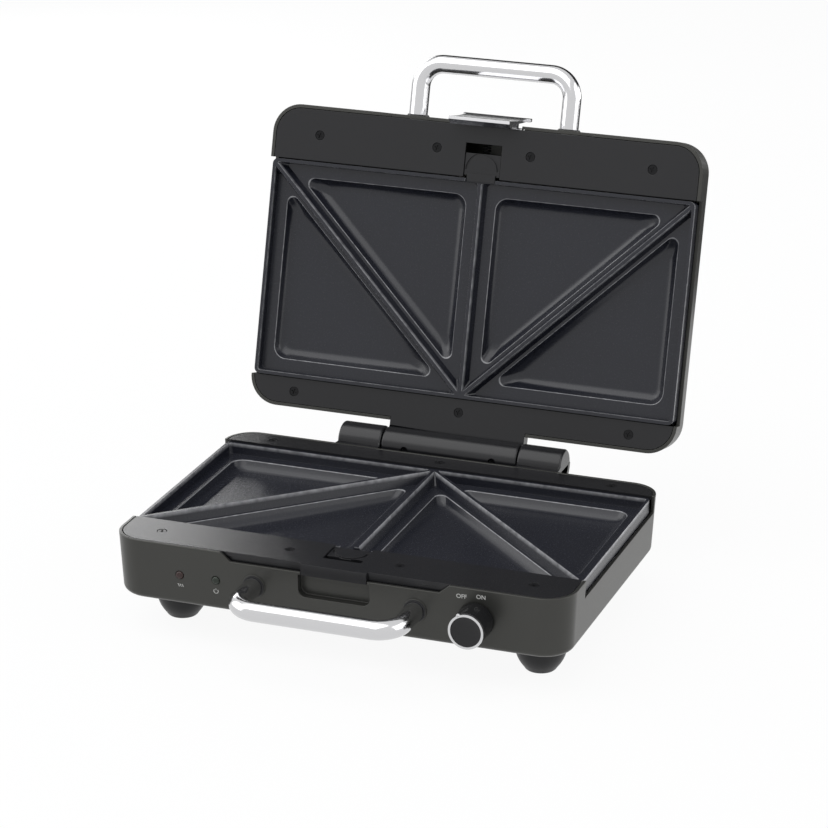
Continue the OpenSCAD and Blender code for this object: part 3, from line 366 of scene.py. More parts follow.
def tub(half, face, deep, draft, edge, wall, neck):
    place, flipped = HALVES[half]
    bm = bmesh.new()
    bmesh.ops.create_cube(bm, size=1)
    bmesh.ops.scale(bm, vec=(2 * HALF_WIDE, BACK - FRONT, face + deep), verts=bm.verts)
    bmesh.ops.translate(bm, vec=(0, (FRONT + BACK) / 2, (face - deep) / 2), verts=bm.verts)
    uprights = [e for e in bm.edges if abs(e.verts[0].co.z - e.verts[1].co.z) > 1]
    bmesh.ops.bevel(bm, geom=uprights, offset=16, offset_type="OFFSET", segments=14,
                    profile=0.5, affect="EDGES", material=-1, clamp_overlap=True)
    low = [v for v in bm.verts if v.co.z < -deep + 0.01]
    bmesh.ops.scale(bm, verts=low, vec=(1 - draft / HALF_WIDE, 1 - 2 * draft / (BACK - FRONT), 1),
                    space=Matrix.Translation((0, -(FRONT + BACK) / 2, 0)))
    under = [f for f in bm.faces if all(v.co.z < -deep + 0.01 for v in f.verts)]
    bmesh.ops.bevel(bm, geom=[e for f in under for e in f.edges], offset=edge,
                    offset_type="OFFSET", segments=12, profile=0.5, affect="EDGES",
                    material=-1, clamp_overlap=True)
    lid_off = [f for f in bm.faces if all(v.co.z > face - 0.01 for v in f.verts)]
    bmesh.ops.delete(bm, geom=lid_off, context="FACES")
    # lowered sides
    for y in (SIDE_FRONT, SIDE_BACK):
        slice_off(bm, (0, y, 0), (0, 1, 0), None)
    slice_off(bm, (0, 0, SIDE_EDGE), (0, 0, 1),
              lambda c: SIDE_FRONT < c.y < SIDE_BACK and c.z > SIDE_EDGE)
    # long notch with slanted ends
    slant = NOTCH_TOP - NOTCH_LOW
    bottom = face - NOTCH_DEEP
    for side in (-1, 1):
        slice_off(bm, (side * NOTCH_TOP, 0, face), (NOTCH_DEEP, 0, side * -slant), None)
    slice_off(bm, (0, 0, bottom), (0, 0, 1),
              lambda c: c.y < -25 and c.z > bottom
              and abs(c.x) < NOTCH_TOP - (face - c.z) * slant / NOTCH_DEEP)
    # latch pocket, with the keeper's place above it
    high = -5.0 if half == "base" else -3.0
    floor = -17.0 if half == "base" else -21.0
    if half == "base":
        for side in (-1, 1):
            slice_off(bm, (side * KEEPER_HALF, 0, 0), (1, 0, 0), None)
        slice_off(bm, (0, 0, high), (0, 0, 1),
                  lambda c: c.y < -25 and abs(c.x) < KEEPER_HALF and c.z > high)
    inset = POCKET_HALF - POCKET_CORNER
    for side in (-1, 1):
        slice_off(bm, (side * POCKET_HALF, 0, 0), (1, 0, 0), None)
        for turn in (15, 30, 45, 60, 75):
            a = math.radians(turn)
            away = Vector((side * math.sin(a), 0, -math.cos(a)))
            slice_off(bm, Vector((side * inset, 0, floor + POCKET_CORNER))
                      + away * POCKET_CORNER, away, None)

    def in_pocket(c):
        if c.y > -25 or abs(c.x) > POCKET_HALF or not floor < c.z < high:
            return False
        corner = Vector((abs(c.x) - inset, c.z - floor - POCKET_CORNER))
        return corner.x < 0 or corner.y > 0 or corner.length < POCKET_CORNER

    slice_off(bm, (0, 0, floor), (0, 0, 1), in_pocket)
    if half == "lid":
        # the opening for the hinge's neck
        for side in (-1, 1):
            slice_off(bm, (side * NECK_HALF, 0, 0), (1, 0, 0), None)
        slice_off(bm, (0, 0, neck), (0, 0, 1),
                  lambda c: c.y > 125 and abs(c.x) < NECK_HALF and c.z > neck)
    # the cuts' leftovers across flat walls go, so that each wall is one face again
    bmesh.ops.dissolve_limit(bm, angle_limit=math.radians(0.3), verts=bm.verts, edges=bm.edges)
    z = HANDLE_Z[half]
    if half == "base":
        round_hole(bm, FRONT, *KNOB, 4.6)
        for x in (-HANDLE_X, HANDLE_X):
            round_hole(bm, FRONT, x, z, 3.5)
        for x in (HEAT_X, POWER_X):
            round_hole(bm, FRONT, x, LAMP_Z, 2.2)
        round_hole(bm, BACK, *GLAND, 6.0)
    # the pocket's own walls and back
    mouth = [e for e in bm.edges if e.is_boundary and all(
        v.co.y < -25 and abs(v.co.x) < POCKET_HALF + 0.01
        and floor - 0.01 < v.co.z < high + 0.01
        for v in e.verts) and not all(abs(v.co.z - high) < 0.01 for v in e.verts)]
    if half == "lid":
        mouth = [e for e in mouth if not all(v.co.z > bottom - 0.01 for v in e.verts)]
    made = bmesh.ops.extrude_edge_only(bm, edges=mouth)["geom"]
    inner = [g for g in made if isinstance(g, bmesh.types.BMVert)]
    for vert in inner:
        vert.co.y = FRONT + POCKET_IN
        if half == "lid" and vert.co.z > bottom - 0.01:
            vert.co.z = -4.0
    bmesh.ops.contextual_create(bm, geom=inner)
    bmesh.ops.recalc_face_normals(bm, faces=bm.faces)
    if min(bm.faces, key=lambda f: f.calc_center_median().z).normal.z > 0:
        bmesh.ops.reverse_faces(bm, faces=bm.faces)
    bmesh.ops.solidify(bm, geom=bm.faces[:], thickness=wall)
    # flat pads under the handle's collars
    for x in (-HANDLE_X, HANDLE_X):
        pad = bmesh.ops.create_circle(bm, cap_ends=True, radius=PAD_R, segments=48)["verts"]
        disc = list({f for v in pad for f in v.link_faces})
        raised = bmesh.ops.extrude_face_region(bm, geom=disc)["geom"]
        top = [g for g in raised if isinstance(g, bmesh.types.BMVert)]
        bmesh.ops.translate(bm, vec=(0, 0, PAD_THICK), verts=top)
        bmesh.ops.transform(bm, matrix=Matrix.Translation((x, FRONT + PAD_THICK, z))
                            @ Matrix.Rotation(math.radians(90), 4, "X"), verts=pad + top)
    if half == "base":
        # two lugs behind, round below, that carry the hinge's knuckles
        for side in (-1, 1):
            keel = bm.verts.new((side * LUG_START, HINGE_Y, HINGE_Z - LUG_R))
            arc = bmesh.ops.spin(bm, geom=[keel], cent=(0, HINGE_Y, HINGE_Z), axis=(1, 0, 0),
                                 angle=math.radians(88.5), steps=12, use_merge=False,
                                 use_duplicate=False)["geom_last"]
            end = [g for g in arc if isinstance(g, bmesh.types.BMVert)][0]
            back = bm.verts.new((side * LUG_START, BACK - 1.2, HINGE_Z - LUG_R))
            top = bm.verts.new((side * LUG_START, BACK - 1.2, HINGE_Z - 0.25))
            for pair in ((end, top), (top, back), (back, keel)):
                bm.edges.new(pair)
            chain, todo = {keel}, [keel]
            while todo:
                for e in todo.pop().link_edges:
                    for v in e.verts:
                        if v not in chain:
                            chain.add(v)
                            todo.append(v)
            cheek = bmesh.ops.contextual_create(
                bm, geom=list({e for v in chain for e in v.link_edges}))["faces"]
            lug = bmesh.ops.extrude_face_region(bm, geom=cheek)["geom"]
            bmesh.ops.translate(bm, vec=(side * LUG_WIDE, 0, 0),
                                verts=[g for g in lug if isinstance(g, bmesh.types.BMVert)])
            bmesh.ops.recalc_face_normals(bm, faces=list({f for v in chain for f in v.link_faces}
                                          | {g for g in lug if isinstance(g, bmesh.types.BMFace)}))
    return piece(bm, half + "_housing", half, pearl, [half + "_shell"], place,
                 flipped, edge=0.00035)


tub("base", 1.0, 31.5, 1.6, 3.5, 1.8, 0)
tub("lid", -1.6, 26.6, 0.8, 11.5, 1.8, -8.5)


def softened(node, body, material, width, name=None, steps=2, sharp=28, ends=()):
    """A moulded piece taken from its CAD solid: the same shape with its hard edges rounded,
    and the rims of the hinge's round ends at these distances from the middle more so."""
    barrel = ON_TABLE @ Vector((0, HINGE_Y, HINGE_Z))
    bm = bmesh.new()
    bm.from_mesh(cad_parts[node].data)
    bmesh.ops.remove_doubles(bm, verts=bm.verts, dist=2e-6)
    bmesh.ops.dissolve_limit(bm, angle_limit=math.radians(0.6), verts=bm.verts, edges=bm.edges)
    if ends:
        rims = [e for e in bm.edges if len(e.link_faces) == 2
                and e.calc_face_angle(0) > math.radians(sharp)
                and all(any(abs(abs(v.co.x) - x) < 0.0001 for x in ends)
                        and abs((v.co - barrel).yz.length - 0.0095) < 0.0004 for v in e.verts)]
        bmesh.ops.bevel(bm, geom=rims, offset=0.0014, offset_type="OFFSET", segments=4,
                        profile=0.5, affect="EDGES", material=-1, clamp_overlap=True)
    hard = [e for e in bm.edges if len(e.link_faces) == 2
            and e.calc_face_angle(0) > math.radians(sharp)]
    bmesh.ops.bevel(bm, geom=hard, offset=width, offset_type="OFFSET", segments=steps,
                    profile=0.5, affect="EDGES", material=-1, clamp_overlap=True)
    return piece(bm, name or node + "_part", body, material, [node])


# Cooking plates
# One casting in each half with a non-stick coating: two squares, each split by a diagonal ridge
# into two triangular pockets. Two tabs behind and the release in front hold it on its housing.
PLATE_WIDE = 120.0
PLATE_DEEP = 117.0
RIM_OUT = 0.9
SLOPE = PLATE_DEEP / PLATE_WIDE
LEDGE = -5.8
PLATE_UNDER = -7.6
POCKET_WALL = [(0, 0), (0.12, 0.04), (0.3, 0.22), (0.45, 0.47), (1.6, 2.4), (2.1, 3.0),
               (2.6, 3.5), (3.1, 3.9), (3.6, 4.2), (4.4, 4.55), (5.2, 4.8), (5.85, 4.93),
               (6.5, 5.0)]


def triangle(outer, side, mid, end, diagonal):
    """Corners of one triangle of a square, drawn in from its three borders. The first corner
    is the square one."""
    lean = diagonal * math.hypot(1, SLOPE)
    if outer:
        x, y = mid - PLATE_WIDE, PLATE_DEEP - end
        corners = [(x, y), (x, SLOPE * mid + lean), ((y - lean) / SLOPE - PLATE_WIDE, y)]
    else:
        x, y = -mid, end
        corners = [(x, y), (x, SLOPE * (PLATE_WIDE + x) - lean),
                   ((y + lean) / SLOPE - PLATE_WIDE, y)]
    return [(side * x, y) for x, y in corners]


def rounded_ring(bm, corners, z, radii):
    """A closed line whose corners are arcs, each swept round its own centre."""
    arcs = []
    for i, (corner, radius) in enumerate(zip(corners, radii)):
        here = Vector((*corner, z))
        back = (Vector((*corners[i - 1], z)) - here).normalized()
        onward = (Vector((*corners[(i + 1) % len(corners)], z)) - here).normalized()
        half = back.angle(onward) / 2
        first = bm.verts.new(here + back * radius / math.tan(half))
        sense = 1 if back.cross(onward).z < 0 else -1
        made = bmesh.ops.spin(bm, geom=[first], axis=(0, 0, 1), steps=8,
                              cent=here + (back + onward).normalized() * radius / math.sin(half),
                              angle=sense * (math.pi - 2 * half), use_merge=False,
                              use_duplicate=False)["geom_last"]
        arcs.append((first, [g for g in made if isinstance(g, bmesh.types.BMVert)][0]))
    for i in range(len(corners)):
        bm.edges.new((arcs[i - 1][1], arcs[i][0]))
    edges, verts = set(), {v for arc in arcs for v in arc}
    while True:
        more = {e for v in verts for e in v.link_edges} - edges
        if not more:
            break
        edges |= more
        verts = {v for e in more for v in e.verts}
    return list(edges)


def pocket_ring(bm, outer, side, inward, z):
    """The outline of a pocket, drawn in or, below zero, drawn out."""
    corners = triangle(outer, side, 8.2 + inward, 7.9 + inward, 4.4 + inward)
    square, tip = (7 - inward, 3.5 - inward) if inward < 0 else (7 - inward / 2,
                                                                 3.5 - inward / 5)
    return rounded_ring(bm, corners, z, [square, tip, tip])


def level(edge, z):
    return all(abs(v.co.z - z) < 0.01 for v in edge.verts)


def coated_finish(name):
    """Dark blue-grey non-stick coating: a fine sprayed speckle, and pale lines on the edges of the
    casting, partly bare metal where those edges wear and partly a painted highlight."""
    made = finish(name, (0.0112, 0.0122, 0.018), 0.25, vary=0.16, grain=2100, bump=0.28,
                  rough_vary=0.08, depth=0.00012)
    nodes, links = made.node_tree.nodes, made.node_tree.links
    shader = nodes["Principled BSDF"]
    shader.inputs["Specular IOR Level"].default_value = 0.43
    under = shader.inputs["Base Color"].links[0].from_socket
    where = nodes.new("ShaderNodeTexCoord")
    dots = nodes.new("ShaderNodeTexVoronoi")
    dots.inputs["Scale"].default_value = 750.0
    links.new(where.outputs["Object"], dots.inputs["Vector"])
    small = nodes.new("ShaderNodeMapRange")
    small.inputs["From Min"].default_value = 0.0
    small.inputs["From Max"].default_value = 0.2
    small.inputs["To Min"].default_value = 0.35
    small.inputs["To Max"].default_value = 0.0
    links.new(dots.outputs["Distance"], small.inputs["Value"])
    speckle = nodes.new("ShaderNodeMix")
    speckle.data_type = "RGBA"
    speckle.inputs[7].default_value = (0.09, 0.095, 0.115, 1)
    links.new(small.outputs["Result"], speckle.inputs[0])
    links.new(under, speckle.inputs[6])
    # The pale edge colour on the crest and pocket-lip bevels: partly bare metal from wear, partly
    # a painted highlight.
    corner = nodes.new("ShaderNodeAttribute")
    corner.attribute_name = "rubbed_and_highlit"
    patchy = nodes.new("ShaderNodeTexNoise")
    patchy.inputs["Scale"].default_value = 260.0
    links.new(where.outputs["Object"], patchy.inputs["Vector"])
    how_far = nodes.new("ShaderNodeMath")
    how_far.operation = "MULTIPLY"
    links.new(corner.outputs["Fac"], how_far.inputs[0])
    links.new(patchy.outputs["Fac"], how_far.inputs[1])
    wear_and_highlight = nodes.new("ShaderNodeMix")
    wear_and_highlight.data_type = "RGBA"
    wear_and_highlight.inputs[7].default_value = (0.6, 0.6, 0.62, 1)
    links.new(how_far.outputs[0], wear_and_highlight.inputs[0])
    links.new(speckle.outputs[2], wear_and_highlight.inputs[6])
    links.new(wear_and_highlight.outputs[2], shader.inputs["Base Color"])
    return made


coating = coated_finish("non-stick coating")


def cooking_plate(half):
    place, flipped = HALVES[half]
    bm = bmesh.new()
    front, rear = -RIM_OUT, PLATE_DEEP + RIM_OUT
    outline = [(-119.9, front), (119.9, front), (119.9, rear), (-119.9, rear)]
    crest = rounded_ring(bm, outline, 0, [3, 3, 3, 3])
    rim = list(crest)
    for side in (-1, 1):
        for outer in (False, True):
            top = rounded_ring(bm, triangle(outer, side, 1.7 if outer else 0.85, 0.8, 0.85), 0,
                               [1.6, 0.5, 0.5])
            foot = rounded_ring(bm, triangle(outer, side, 2.3 if outer else 3.0, 1.5, 3.0),
                                LEDGE, [2.2, 1.0, 1.0])
            bmesh.ops.bridge_loops(bm, edges=top + foot)
            rim += top
            lip = row = pocket_ring(bm, outer, side, 0, LEDGE)
            for inward, down in POCKET_WALL[1:]:
                lower = pocket_ring(bm, outer, side, inward, LEDGE - down)
                bmesh.ops.bridge_loops(bm, edges=row + lower)
                row = lower
            bmesh.ops.contextual_create(bm, geom=row)
            bmesh.ops.triangle_fill(bm, edges=foot + lip, normal=(0, 0, 1), use_beauty=True)
    bmesh.ops.triangle_fill(bm, edges=rim, normal=(0, 0, 1), use_beauty=True)
    under = rounded_ring(bm, outline, PLATE_UNDER, [3, 3, 3, 3])
    bmesh.ops.bridge_loops(bm, edges=crest + under)
    below = list(under)
    for side in (-1, 1):
        for outer in (False, True):
            row = pocket_ring(bm, outer, side, -0.5, PLATE_UNDER)
            below += row
            for inward, z in ((-0.5, -11.8), (-0.3, -12.3), (0.2, -12.6)):
                lower = pocket_ring(bm, outer, side, inward, z)
                bmesh.ops.bridge_loops(bm, edges=row + lower)
                row = lower
            bmesh.ops.contextual_create(bm, geom=row)
    bmesh.ops.triangle_fill(bm, edges=below, normal=(0, 0, -1), use_beauty=True)
    # notch in the front rim for the release's tongue
    sill = -2.2
    wide = 8.6
    deep = 1.4
    for point, normal in (((-wide, 0, 0), (1, 0, 0)), ((wide, 0, 0), (1, 0, 0)),
                          ((0, deep, 0), (0, 1, 0))):
        slice_off(bm, point, normal, None)
    slice_off(bm, (0, 0, sill), (0, 0, 1),
              lambda c: abs(c.x) < wide and c.y < deep and c.z > sill)
    gap = [e for e in bm.edges if e.is_boundary]
    for side in (-1, 1):
        cheek = [e for e in gap if all(abs(v.co.x - side * wide) < 0.01 for v in e.verts)]
        low = [v for e in cheek for v in e.verts if abs(v.co.z - sill) < 0.01]
        gap.append(bm.edges.new(low))
        bmesh.ops.contextual_create(bm, geom=cheek + [gap[-1]])
    stub = [e for e in gap if all(abs(v.co.y - deep) < 0.01 for v in e.verts)]
    low = [v for e in stub for v in e.verts if abs(v.co.z - sill) < 0.01]
    gap.append(bm.edges.new(low))
    bmesh.ops.contextual_create(bm, geom=stub + [gap[-1]])
    bmesh.ops.triangle_fill(bm, edges=[e for e in gap if level(e, sill)], normal=(0, 0, 1),
                            use_beauty=True)
    bmesh.ops.remove_doubles(bm, verts=bm.verts, dist=1e-4)
    bmesh.ops.recalc_face_normals(bm, faces=bm.faces)
    ledge_foot = [e for e in bm.edges if level(e, LEDGE) and len(e.link_faces) == 2
                  and any(f.calc_center_median().z > LEDGE + 0.1 for f in e.link_faces)]
    bmesh.ops.bevel(bm, geom=ledge_foot, offset=0.8, offset_type="OFFSET", segments=3,
                    profile=0.5, affect="EDGES", material=-1, clamp_overlap=True)
    tops = [e for e in bm.edges if level(e, 0) and len(e.link_faces) == 2
            and e.calc_face_angle(0) > 0.6]
    bmesh.ops.bevel(bm, geom=tops, offset=0.35, offset_type="OFFSET", segments=3,
                    profile=0.5, affect="EDGES", material=-1, clamp_overlap=True)
    # Crest and pocket-lip bevels get the pale edge colour: partly wear, partly a painted
    # highlight.
    rubbed_and_highlit = bm.verts.layers.float.new("rubbed_and_highlit")
    for vert in bm.verts:
        z = vert.co.z
        if -0.33 < z < -0.01:
            vert[rubbed_and_highlit] = 1.0
        elif LEDGE - 0.24 < z < LEDGE - 0.02:
            vert[rubbed_and_highlit] = 0.8
    for x in (-86.4, 86.4):
        tab = bmesh.ops.create_cube(bm, size=1)["verts"]
        bmesh.ops.scale(bm, vec=(14, 5, 1.5), verts=tab)
        bmesh.ops.translate(bm, vec=(x, PLATE_DEEP + 1.5, -5.05), verts=tab)
        bmesh.ops.bevel(bm, geom=list({e for v in tab for e in v.link_edges}), offset=0.3,
                        offset_type="OFFSET", segments=2, profile=0.5, affect="EDGES",
                        material=-1, clamp_overlap=True)
    piece(bm, half + "_plate_casting", half, coating, [half + "_plate"], place,
          flipped)


cooking_plate("base")
cooking_plate("lid")


# Heating elements, reflectors and what hangs on the plates
# Steel sheathed tubes lie close under the pockets over a bright sheet tray. Clips, a disc
# thermostat below and a cut-out above are screwed on; the base also carries the thermal fuse.
sheath = finish("element sheath", (0.2, 0.19, 0.17), 0.48, metal=0.85, vary=0.3, bump=0.2)
tray_sheet = finish("bright tray sheet", (0.7, 0.7, 0.71), 0.22, metal=1.0, vary=0.05,
                    grain=300, bump=0.08)
steel = finish("plain steel", (0.5, 0.5, 0.51), 0.3, metal=1.0, vary=0.1, grain=1500)
can = finish("stamped can", (0.62, 0.62, 0.63), 0.28, metal=1.0, vary=0.08, grain=1200)
for node, skin in (("base_heater", sheath), ("lid_heater", sheath),
                   ("base_reflector", tray_sheet), ("lid_reflector", tray_sheet),
                   ("base_heater_clips", steel), ("lid_heater_clips", steel),
                   ("base_reflector_screws", zinc_steel), ("lid_reflector_screws", zinc_steel),
                   ("thermostat", can), ("lid_cutout", can), ("thermal_fuse", can)):
    dressed(node, skin)


# Front and rear bezels
# Satin black mouldings screwed down on the housings. They hold the plates' edges; the rear ones
# carry the knuckles and the barrel of the hinge, and the lower front one the latch keeper.
satin_black = finish("satin black moulding", (0.0105, 0.0105, 0.012), 0.25, shine=0.37,
                     vary=0.1, bump=0.14, grain=2300, rough_vary=0.05)
for half in ("base", "lid"):
    for end in ("front", "rear"):
        node = f"{half}_{end}_bezel"
        softened(node, half, satin_black, 0.0003,
                 ends=(0.0636, 0.039, 0.0386) if end == "rear" else ())


# Bezel screws
# Small black screws with a pan head and a cross recess, sunk in the bezels' round seats.
black_screw = finish("blackened screws", (0.006, 0.006, 0.007), 0.16, vary=0.2, bump=0.05,
                     shine=0.2)
for half in ("base", "lid"):
    softened(half + "_bezel_screws", half, black_screw, 0.0001)
softened("barrel_screws", "lid", black_screw, 0.0001)


# Plate releases
# Black thumb pieces that slide in a slot of each front bezel against a small coil spring.
for half in ("base", "lid"):
    softened(half + "_release", half + "_release", satin_black, 0.00022)
    dressed(half + "_release_spring", black_screw)


# Handles
# A bar 10 mm thick, bent to a U and chromed, on each half. Each end goes through a low black
# collar on the front wall and is held by a screw from inside.
chrome = finish("polished chrome", (0.6, 0.6, 0.61), 0.14, metal=1.0, vary=0.02, grain=500,
                bump=0.006, rough_vary=0.03)
collar_black = finish("collar black", (0.02, 0.02, 0.022), 0.3, bump=0.06, grain=1600)


BAR_R = 5.0
BAR_BEND = 12.5
BAR_LEG = 16.5


def handle(half):
    place, flipped = HALVES[half]
    z = HANDLE_Z[half]
    inner = HANDLE_X - BAR_BEND
    bm = bmesh.new()
    bar = bmesh.ops.create_circle(bm, cap_ends=False, radius=BAR_R, segments=40,
                                  matrix=Matrix.Translation((-HANDLE_X, FRONT, z))
                                  @ Matrix.Rotation(math.radians(90), 4, "X"))["verts"]
    end = list({e for v in bar for e in v.link_edges})
    start = list(end)

    def onward(step, pieces=1):
        nonlocal end
        for _ in range(pieces):
            made = bmesh.ops.extrude_edge_only(bm, edges=end)["geom"]
            verts = [g for g in made if isinstance(g, bmesh.types.BMVert)]
            end = [g for g in made if isinstance(g, bmesh.types.BMEdge)
                   and all(v in verts for v in g.verts)]
            bmesh.ops.translate(bm, vec=Vector(step) / pieces, verts=verts)

    def bend(centre):
        nonlocal end
        made = bmesh.ops.spin(bm, geom=end, cent=centre, axis=(0, 0, 1),
                              angle=math.radians(90), steps=16,
                              use_merge=False, use_duplicate=False)["geom_last"]
        end = [g for g in made if isinstance(g, bmesh.types.BMEdge)]

    onward((0, -BAR_LEG, 0), 3)
    bend((-inner, FRONT - BAR_LEG, z))
    onward((2 * inner, 0, 0), 8)
    bend((inner, FRONT - BAR_LEG, z))
    onward((0, BAR_LEG, 0), 3)
    for edges in (start, end):
        bmesh.ops.edgenet_fill(bm, edges=edges)
        made = bmesh.ops.create_circle(bm, cap_ends=True, radius=3.4, segments=24)["verts"]
        x = sum((v.co.x for e in edges for v in e.verts)) / (2 * len(edges))
        face = list({f for v in made for f in v.link_faces})
        spigot = bmesh.ops.extrude_face_region(bm, geom=face)["geom"]
        bmesh.ops.translate(bm, vec=(0, 0, 3.2),
                            verts=[g for g in spigot if isinstance(g, bmesh.types.BMVert)])
        whole = made + [g for g in spigot if isinstance(g, bmesh.types.BMVert)]
        bmesh.ops.transform(bm, matrix=Matrix.Translation((x, FRONT - 0.2, z))
                            @ Matrix.Rotation(math.radians(-90), 4, "X"), verts=whole)
    bmesh.ops.recalc_face_normals(bm, faces=bm.faces)
    piece(bm, half + "_handle_bar", half, chrome, [half + "_handle"], place, flipped)

    collars = bmesh.new()
    shape = [(5.03, 0), (5.8, 0), (5.8, -0.3), (5.72, -0.5), (5.5, -0.6), (5.2, -0.6),
             (5.03, -0.45), (5.03, 0)]
    for x in (-HANDLE_X, HANDLE_X):
        turned(collars, [(x + r, FRONT + h, z) for r, h in shape], (x, 0, z), (0, 1, 0), 40)
    bmesh.ops.recalc_face_normals(collars, faces=collars.faces)
    piece(collars, half + "_collars", half, collar_black,
          [half + "_handle_collars"], place, flipped)
    dressed(half + "_handle_screws", zinc_steel)


handle("base")
handle("lid")


# Latch
# A pressed and chromed lever with a rolled finger lip. Its two ears turn on a steel pin across
# the lid's pocket, and a coil spring on the pin swings its hook under the keeper.
latch_plate = finish("chromed latch plate", (0.74, 0.74, 0.755), 0.17, metal=1.0, vary=0.03,
                     grain=900, bump=0.02, rough_vary=0.04)
softened("latch", "latch", latch_plate, 0.00025, "latch_lever", 3)
dressed("latch_pin", steel)
dressed("latch_spring", steel)


# Knob
# The rotary switch's glossy black knob with a dished front, a chromed ring whose nub points at
# OFF or ON, and the steel shaft that it turns.
gloss_black = finish("glossy black knob", (0.012, 0.012, 0.013), 0.12, vary=0.1, bump=0.01,
                     grain=700, rough_vary=0.03)


def about_knob(bm, profile, steps):
    x, z = KNOB
    turned(bm, [(x + r, y, z) for r, y in profile], (x, 0, z), (0, 1, 0), steps)


grip = bmesh.new()
about_knob(grip, [(0, -45.55), (2.0, -45.6), (4.2, -45.75), (6.0, -46.0), (7.2, -46.3),
                  (7.75, -46.5), (7.78, -45.3), (8.9, -45.3), (9.15, -45.1), (9.2, -44.7),
                  (9.2, -33.3), (9.4, -33.0), (9.4, -32.1), (9.2, -31.9), (3.2, -31.9),
                  (3.2, -41.0), (0, -41.0)], 64)
bmesh.ops.recalc_face_normals(grip, faces=grip.faces)
piece(grip, "knob_body", "knob", gloss_black, ["knob"], ON_TABLE)

ring_body = bmesh.new()
about_knob(ring_body, [(7.82, -45.4), (7.82, -46.6), (7.95, -46.9), (8.25, -47.0),
                       (8.75, -47.0), (9.1, -46.85), (9.2, -46.5), (9.2, -45.4), (7.82, -45.4)],
           72)
turn = math.radians(90 + 27)
nub_x = KNOB[0] + 9.0 * math.cos(turn)
nub_z = KNOB[1] + 9.0 * math.sin(turn)
turned(ring_body, [(nub_x, -45.42, nub_z), (nub_x + 1, -45.42, nub_z), (nub_x + 1, -46.6, nub_z),
                   (nub_x + 0.85, -46.9, nub_z), (nub_x + 0.5, -47.0, nub_z),
                   (nub_x, -47.0, nub_z)], (nub_x, 0, nub_z), (0, 1, 0), 24)
bmesh.ops.recalc_face_normals(ring_body, faces=ring_body.faces)
piece(ring_body, "knob_ring_chrome", "knob", chrome, ["knob_ring"], ON_TABLE)
dressed("switch_shaft", steel)


# Lamps
# Two domed lenses in the front wall, ruby for heat and green for power, unlit.
def lens_finish(name, colour):
    made = finish(name, colour, 0.12, vary=0.15, bump=0.02, grain=500, rough_vary=0.03)
    shader = made.node_tree.nodes["Principled BSDF"]
    shader.inputs["Transmission Weight"].default_value = 0.25
    shader.inputs["IOR"].default_value = 1.49
    return made


for node, name, x, colour, slot in (
        ("heat_lamp", "ruby lens", HEAT_X, (0.045, 0.022, 0.02), "red_lens"),
        ("power_lamp", "green lens", POWER_X, (0.024, 0.034, 0.024), "green_lens")):
    lens = bmesh.new()
    shape = [(0, -31.68), (0.7, -31.64), (1.3, -31.5), (1.75, -31.26), (2.0, -30.95),
             (2.1, -30.6), (2.1, -28.4), (3.3, -28.4), (3.3, -26.9), (2.1, -26.9),
             (2.1, -22.7), (0, -22.7)]
    turned(lens, [(x + r, y, LAMP_Z) for r, y in shape], (x, 0, LAMP_Z), (0, 1, 0), 32)
    bmesh.ops.recalc_face_normals(lens, faces=lens.faces)
    piece(lens, node + "_lens", "base", lens_finish(name, colour), [node], ON_TABLE)


# Marks
# Pale printed marks on the front wall: OFF and ON over the knob, and two plain signs, a wave
# for heat and a stroke in a broken ring for power, under the lamps.
print_white = finish("pale print", (0.62, 0.62, 0.6), 0.5, vary=0.08, bump=0.02)
DRAFT = math.atan2(1.6, 32.5)


def on_wall(x, z):
    """The place just proud of the sloping front wall, upright at x and z."""
    y = FRONT + 1.6 * (1 - z) / 32.5 - 0.04
    return (ON_TABLE @ Matrix.Translation((x, y, z))
            @ Matrix.Rotation(math.radians(90) + DRAFT, 4, "X"))


def word(text, x, z, height):
    curve = bpy.data.curves.new("mark_" + text.lower(), "FONT")
    curve.body = text
    curve.size = height / 0.73
    curve.align_x = "CENTER"
    curve.extrude = 0.02
    curve.offset = 0.03
    shaped = bpy.data.objects.new("mark_" + text.lower(), curve)
    scene.collection.objects.link(shaped)
    bpy.context.view_layer.update()
    mesh = bpy.data.meshes.new_from_object(shaped)
    bpy.data.objects.remove(shaped)
    bm = bmesh.new()
    bm.from_mesh(mesh)
    bpy.data.meshes.remove(mesh)
    bmesh.ops.remove_doubles(bm, verts=bm.verts, dist=1e-5)
    piece(bm, "mark_" + text.lower(), "base", print_white, place=on_wall(x, z))


word("OFF", 67.4, -4.6, 2.3)
word("ON", 77.5, -3.6, 2.3)

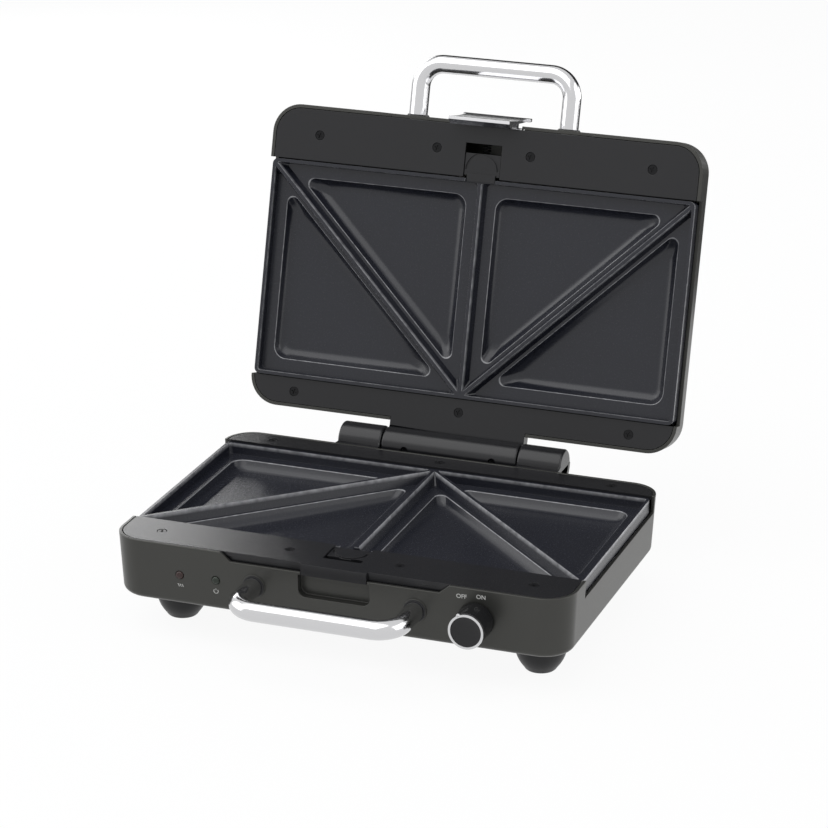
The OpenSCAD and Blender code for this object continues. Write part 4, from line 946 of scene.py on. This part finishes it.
def stroke(bm, start, centre, angle, steps, width=0.3, slide=(0, 0, 0)):
    """A printed line of even width, swept round a centre or along a straight way."""
    first = [bm.verts.new(start), bm.verts.new((start[0], start[1], start[2] + 0.03))]
    out = Vector(start) - Vector(centre)
    across = out.normalized() * width if angle else Vector((width, 0, 0))
    second = [bm.verts.new(v.co + across) for v in (first[1], first[0])]
    face = bm.faces.new(first + second)
    if angle:
        made = bmesh.ops.spin(bm, geom=[face], cent=centre, axis=(0, 0, 1), angle=angle,
                              steps=steps, use_merge=False, use_duplicate=False)["geom_last"]
    else:
        made = bmesh.ops.extrude_face_region(bm, geom=[face])["geom"]
        bmesh.ops.translate(bm, vec=slide, verts=[g for g in made
                                                  if isinstance(g, bmesh.types.BMVert)])


signs = bmesh.new()


def printed(bm, x, z):
    """Lays drawn strokes on the wall and adds them to the one mesh of all signs."""
    bmesh.ops.recalc_face_normals(bm, faces=bm.faces)
    bmesh.ops.transform(bm, matrix=on_wall(x, z), verts=bm.verts)
    kept = bpy.data.meshes.new("sign")
    bm.to_mesh(kept)
    bm.free()
    signs.from_mesh(kept)
    bpy.data.meshes.remove(kept)


for shift in (-1.1, 0.0, 1.1):
    wave = bmesh.new()
    stroke(wave, (shift + 0.35, 0, 0), (shift - 0.25, 0, 0), math.radians(75), 6)
    stroke(wave, (shift + 0.35, 0, 0), (shift + 1.25, 0, 0), math.radians(60), 6, -0.3)
    printed(wave, HEAT_X, -20.6)
power = bmesh.new()
stroke(power, (0.75, 0.75, 0), (0, 0, 0), math.radians(-270), 24)
stroke(power, (-0.15, 0.45, 0), (0, 0, 0), 0, 1, 0.3, (0, 1.0, 0))
printed(power, POWER_X, -20.9)
piece(signs, "mark_signs", "base", print_white)


# Switch, terminal block, leads and gland
# Inside the base: the rotary switch behind the knob, glass-sleeved leads, an ivory terminal
# block, and the rubber gland in the rear wall through which the mains cord goes.
switch_grey = finish("switch grey", (0.11, 0.115, 0.12), 0.5, bump=0.1)
ivory = finish("terminal ivory", (0.72, 0.68, 0.56), 0.45, bump=0.08)
sleeve = finish("glass sleeve", (0.42, 0.06, 0.045), 0.6, vary=0.2, grain=3000, bump=0.4)
dressed("rotary_switch", switch_grey)
dressed("terminal_block", ivory)
dressed("wiring", sleeve)
softened("cord_gland", "base", foot_rubber, 0.0004)


# Hinge pins
# Two steel pins, each fixed in a knuckle of the base, on which the lid's barrel turns.
dressed("hinge_pins", steel)
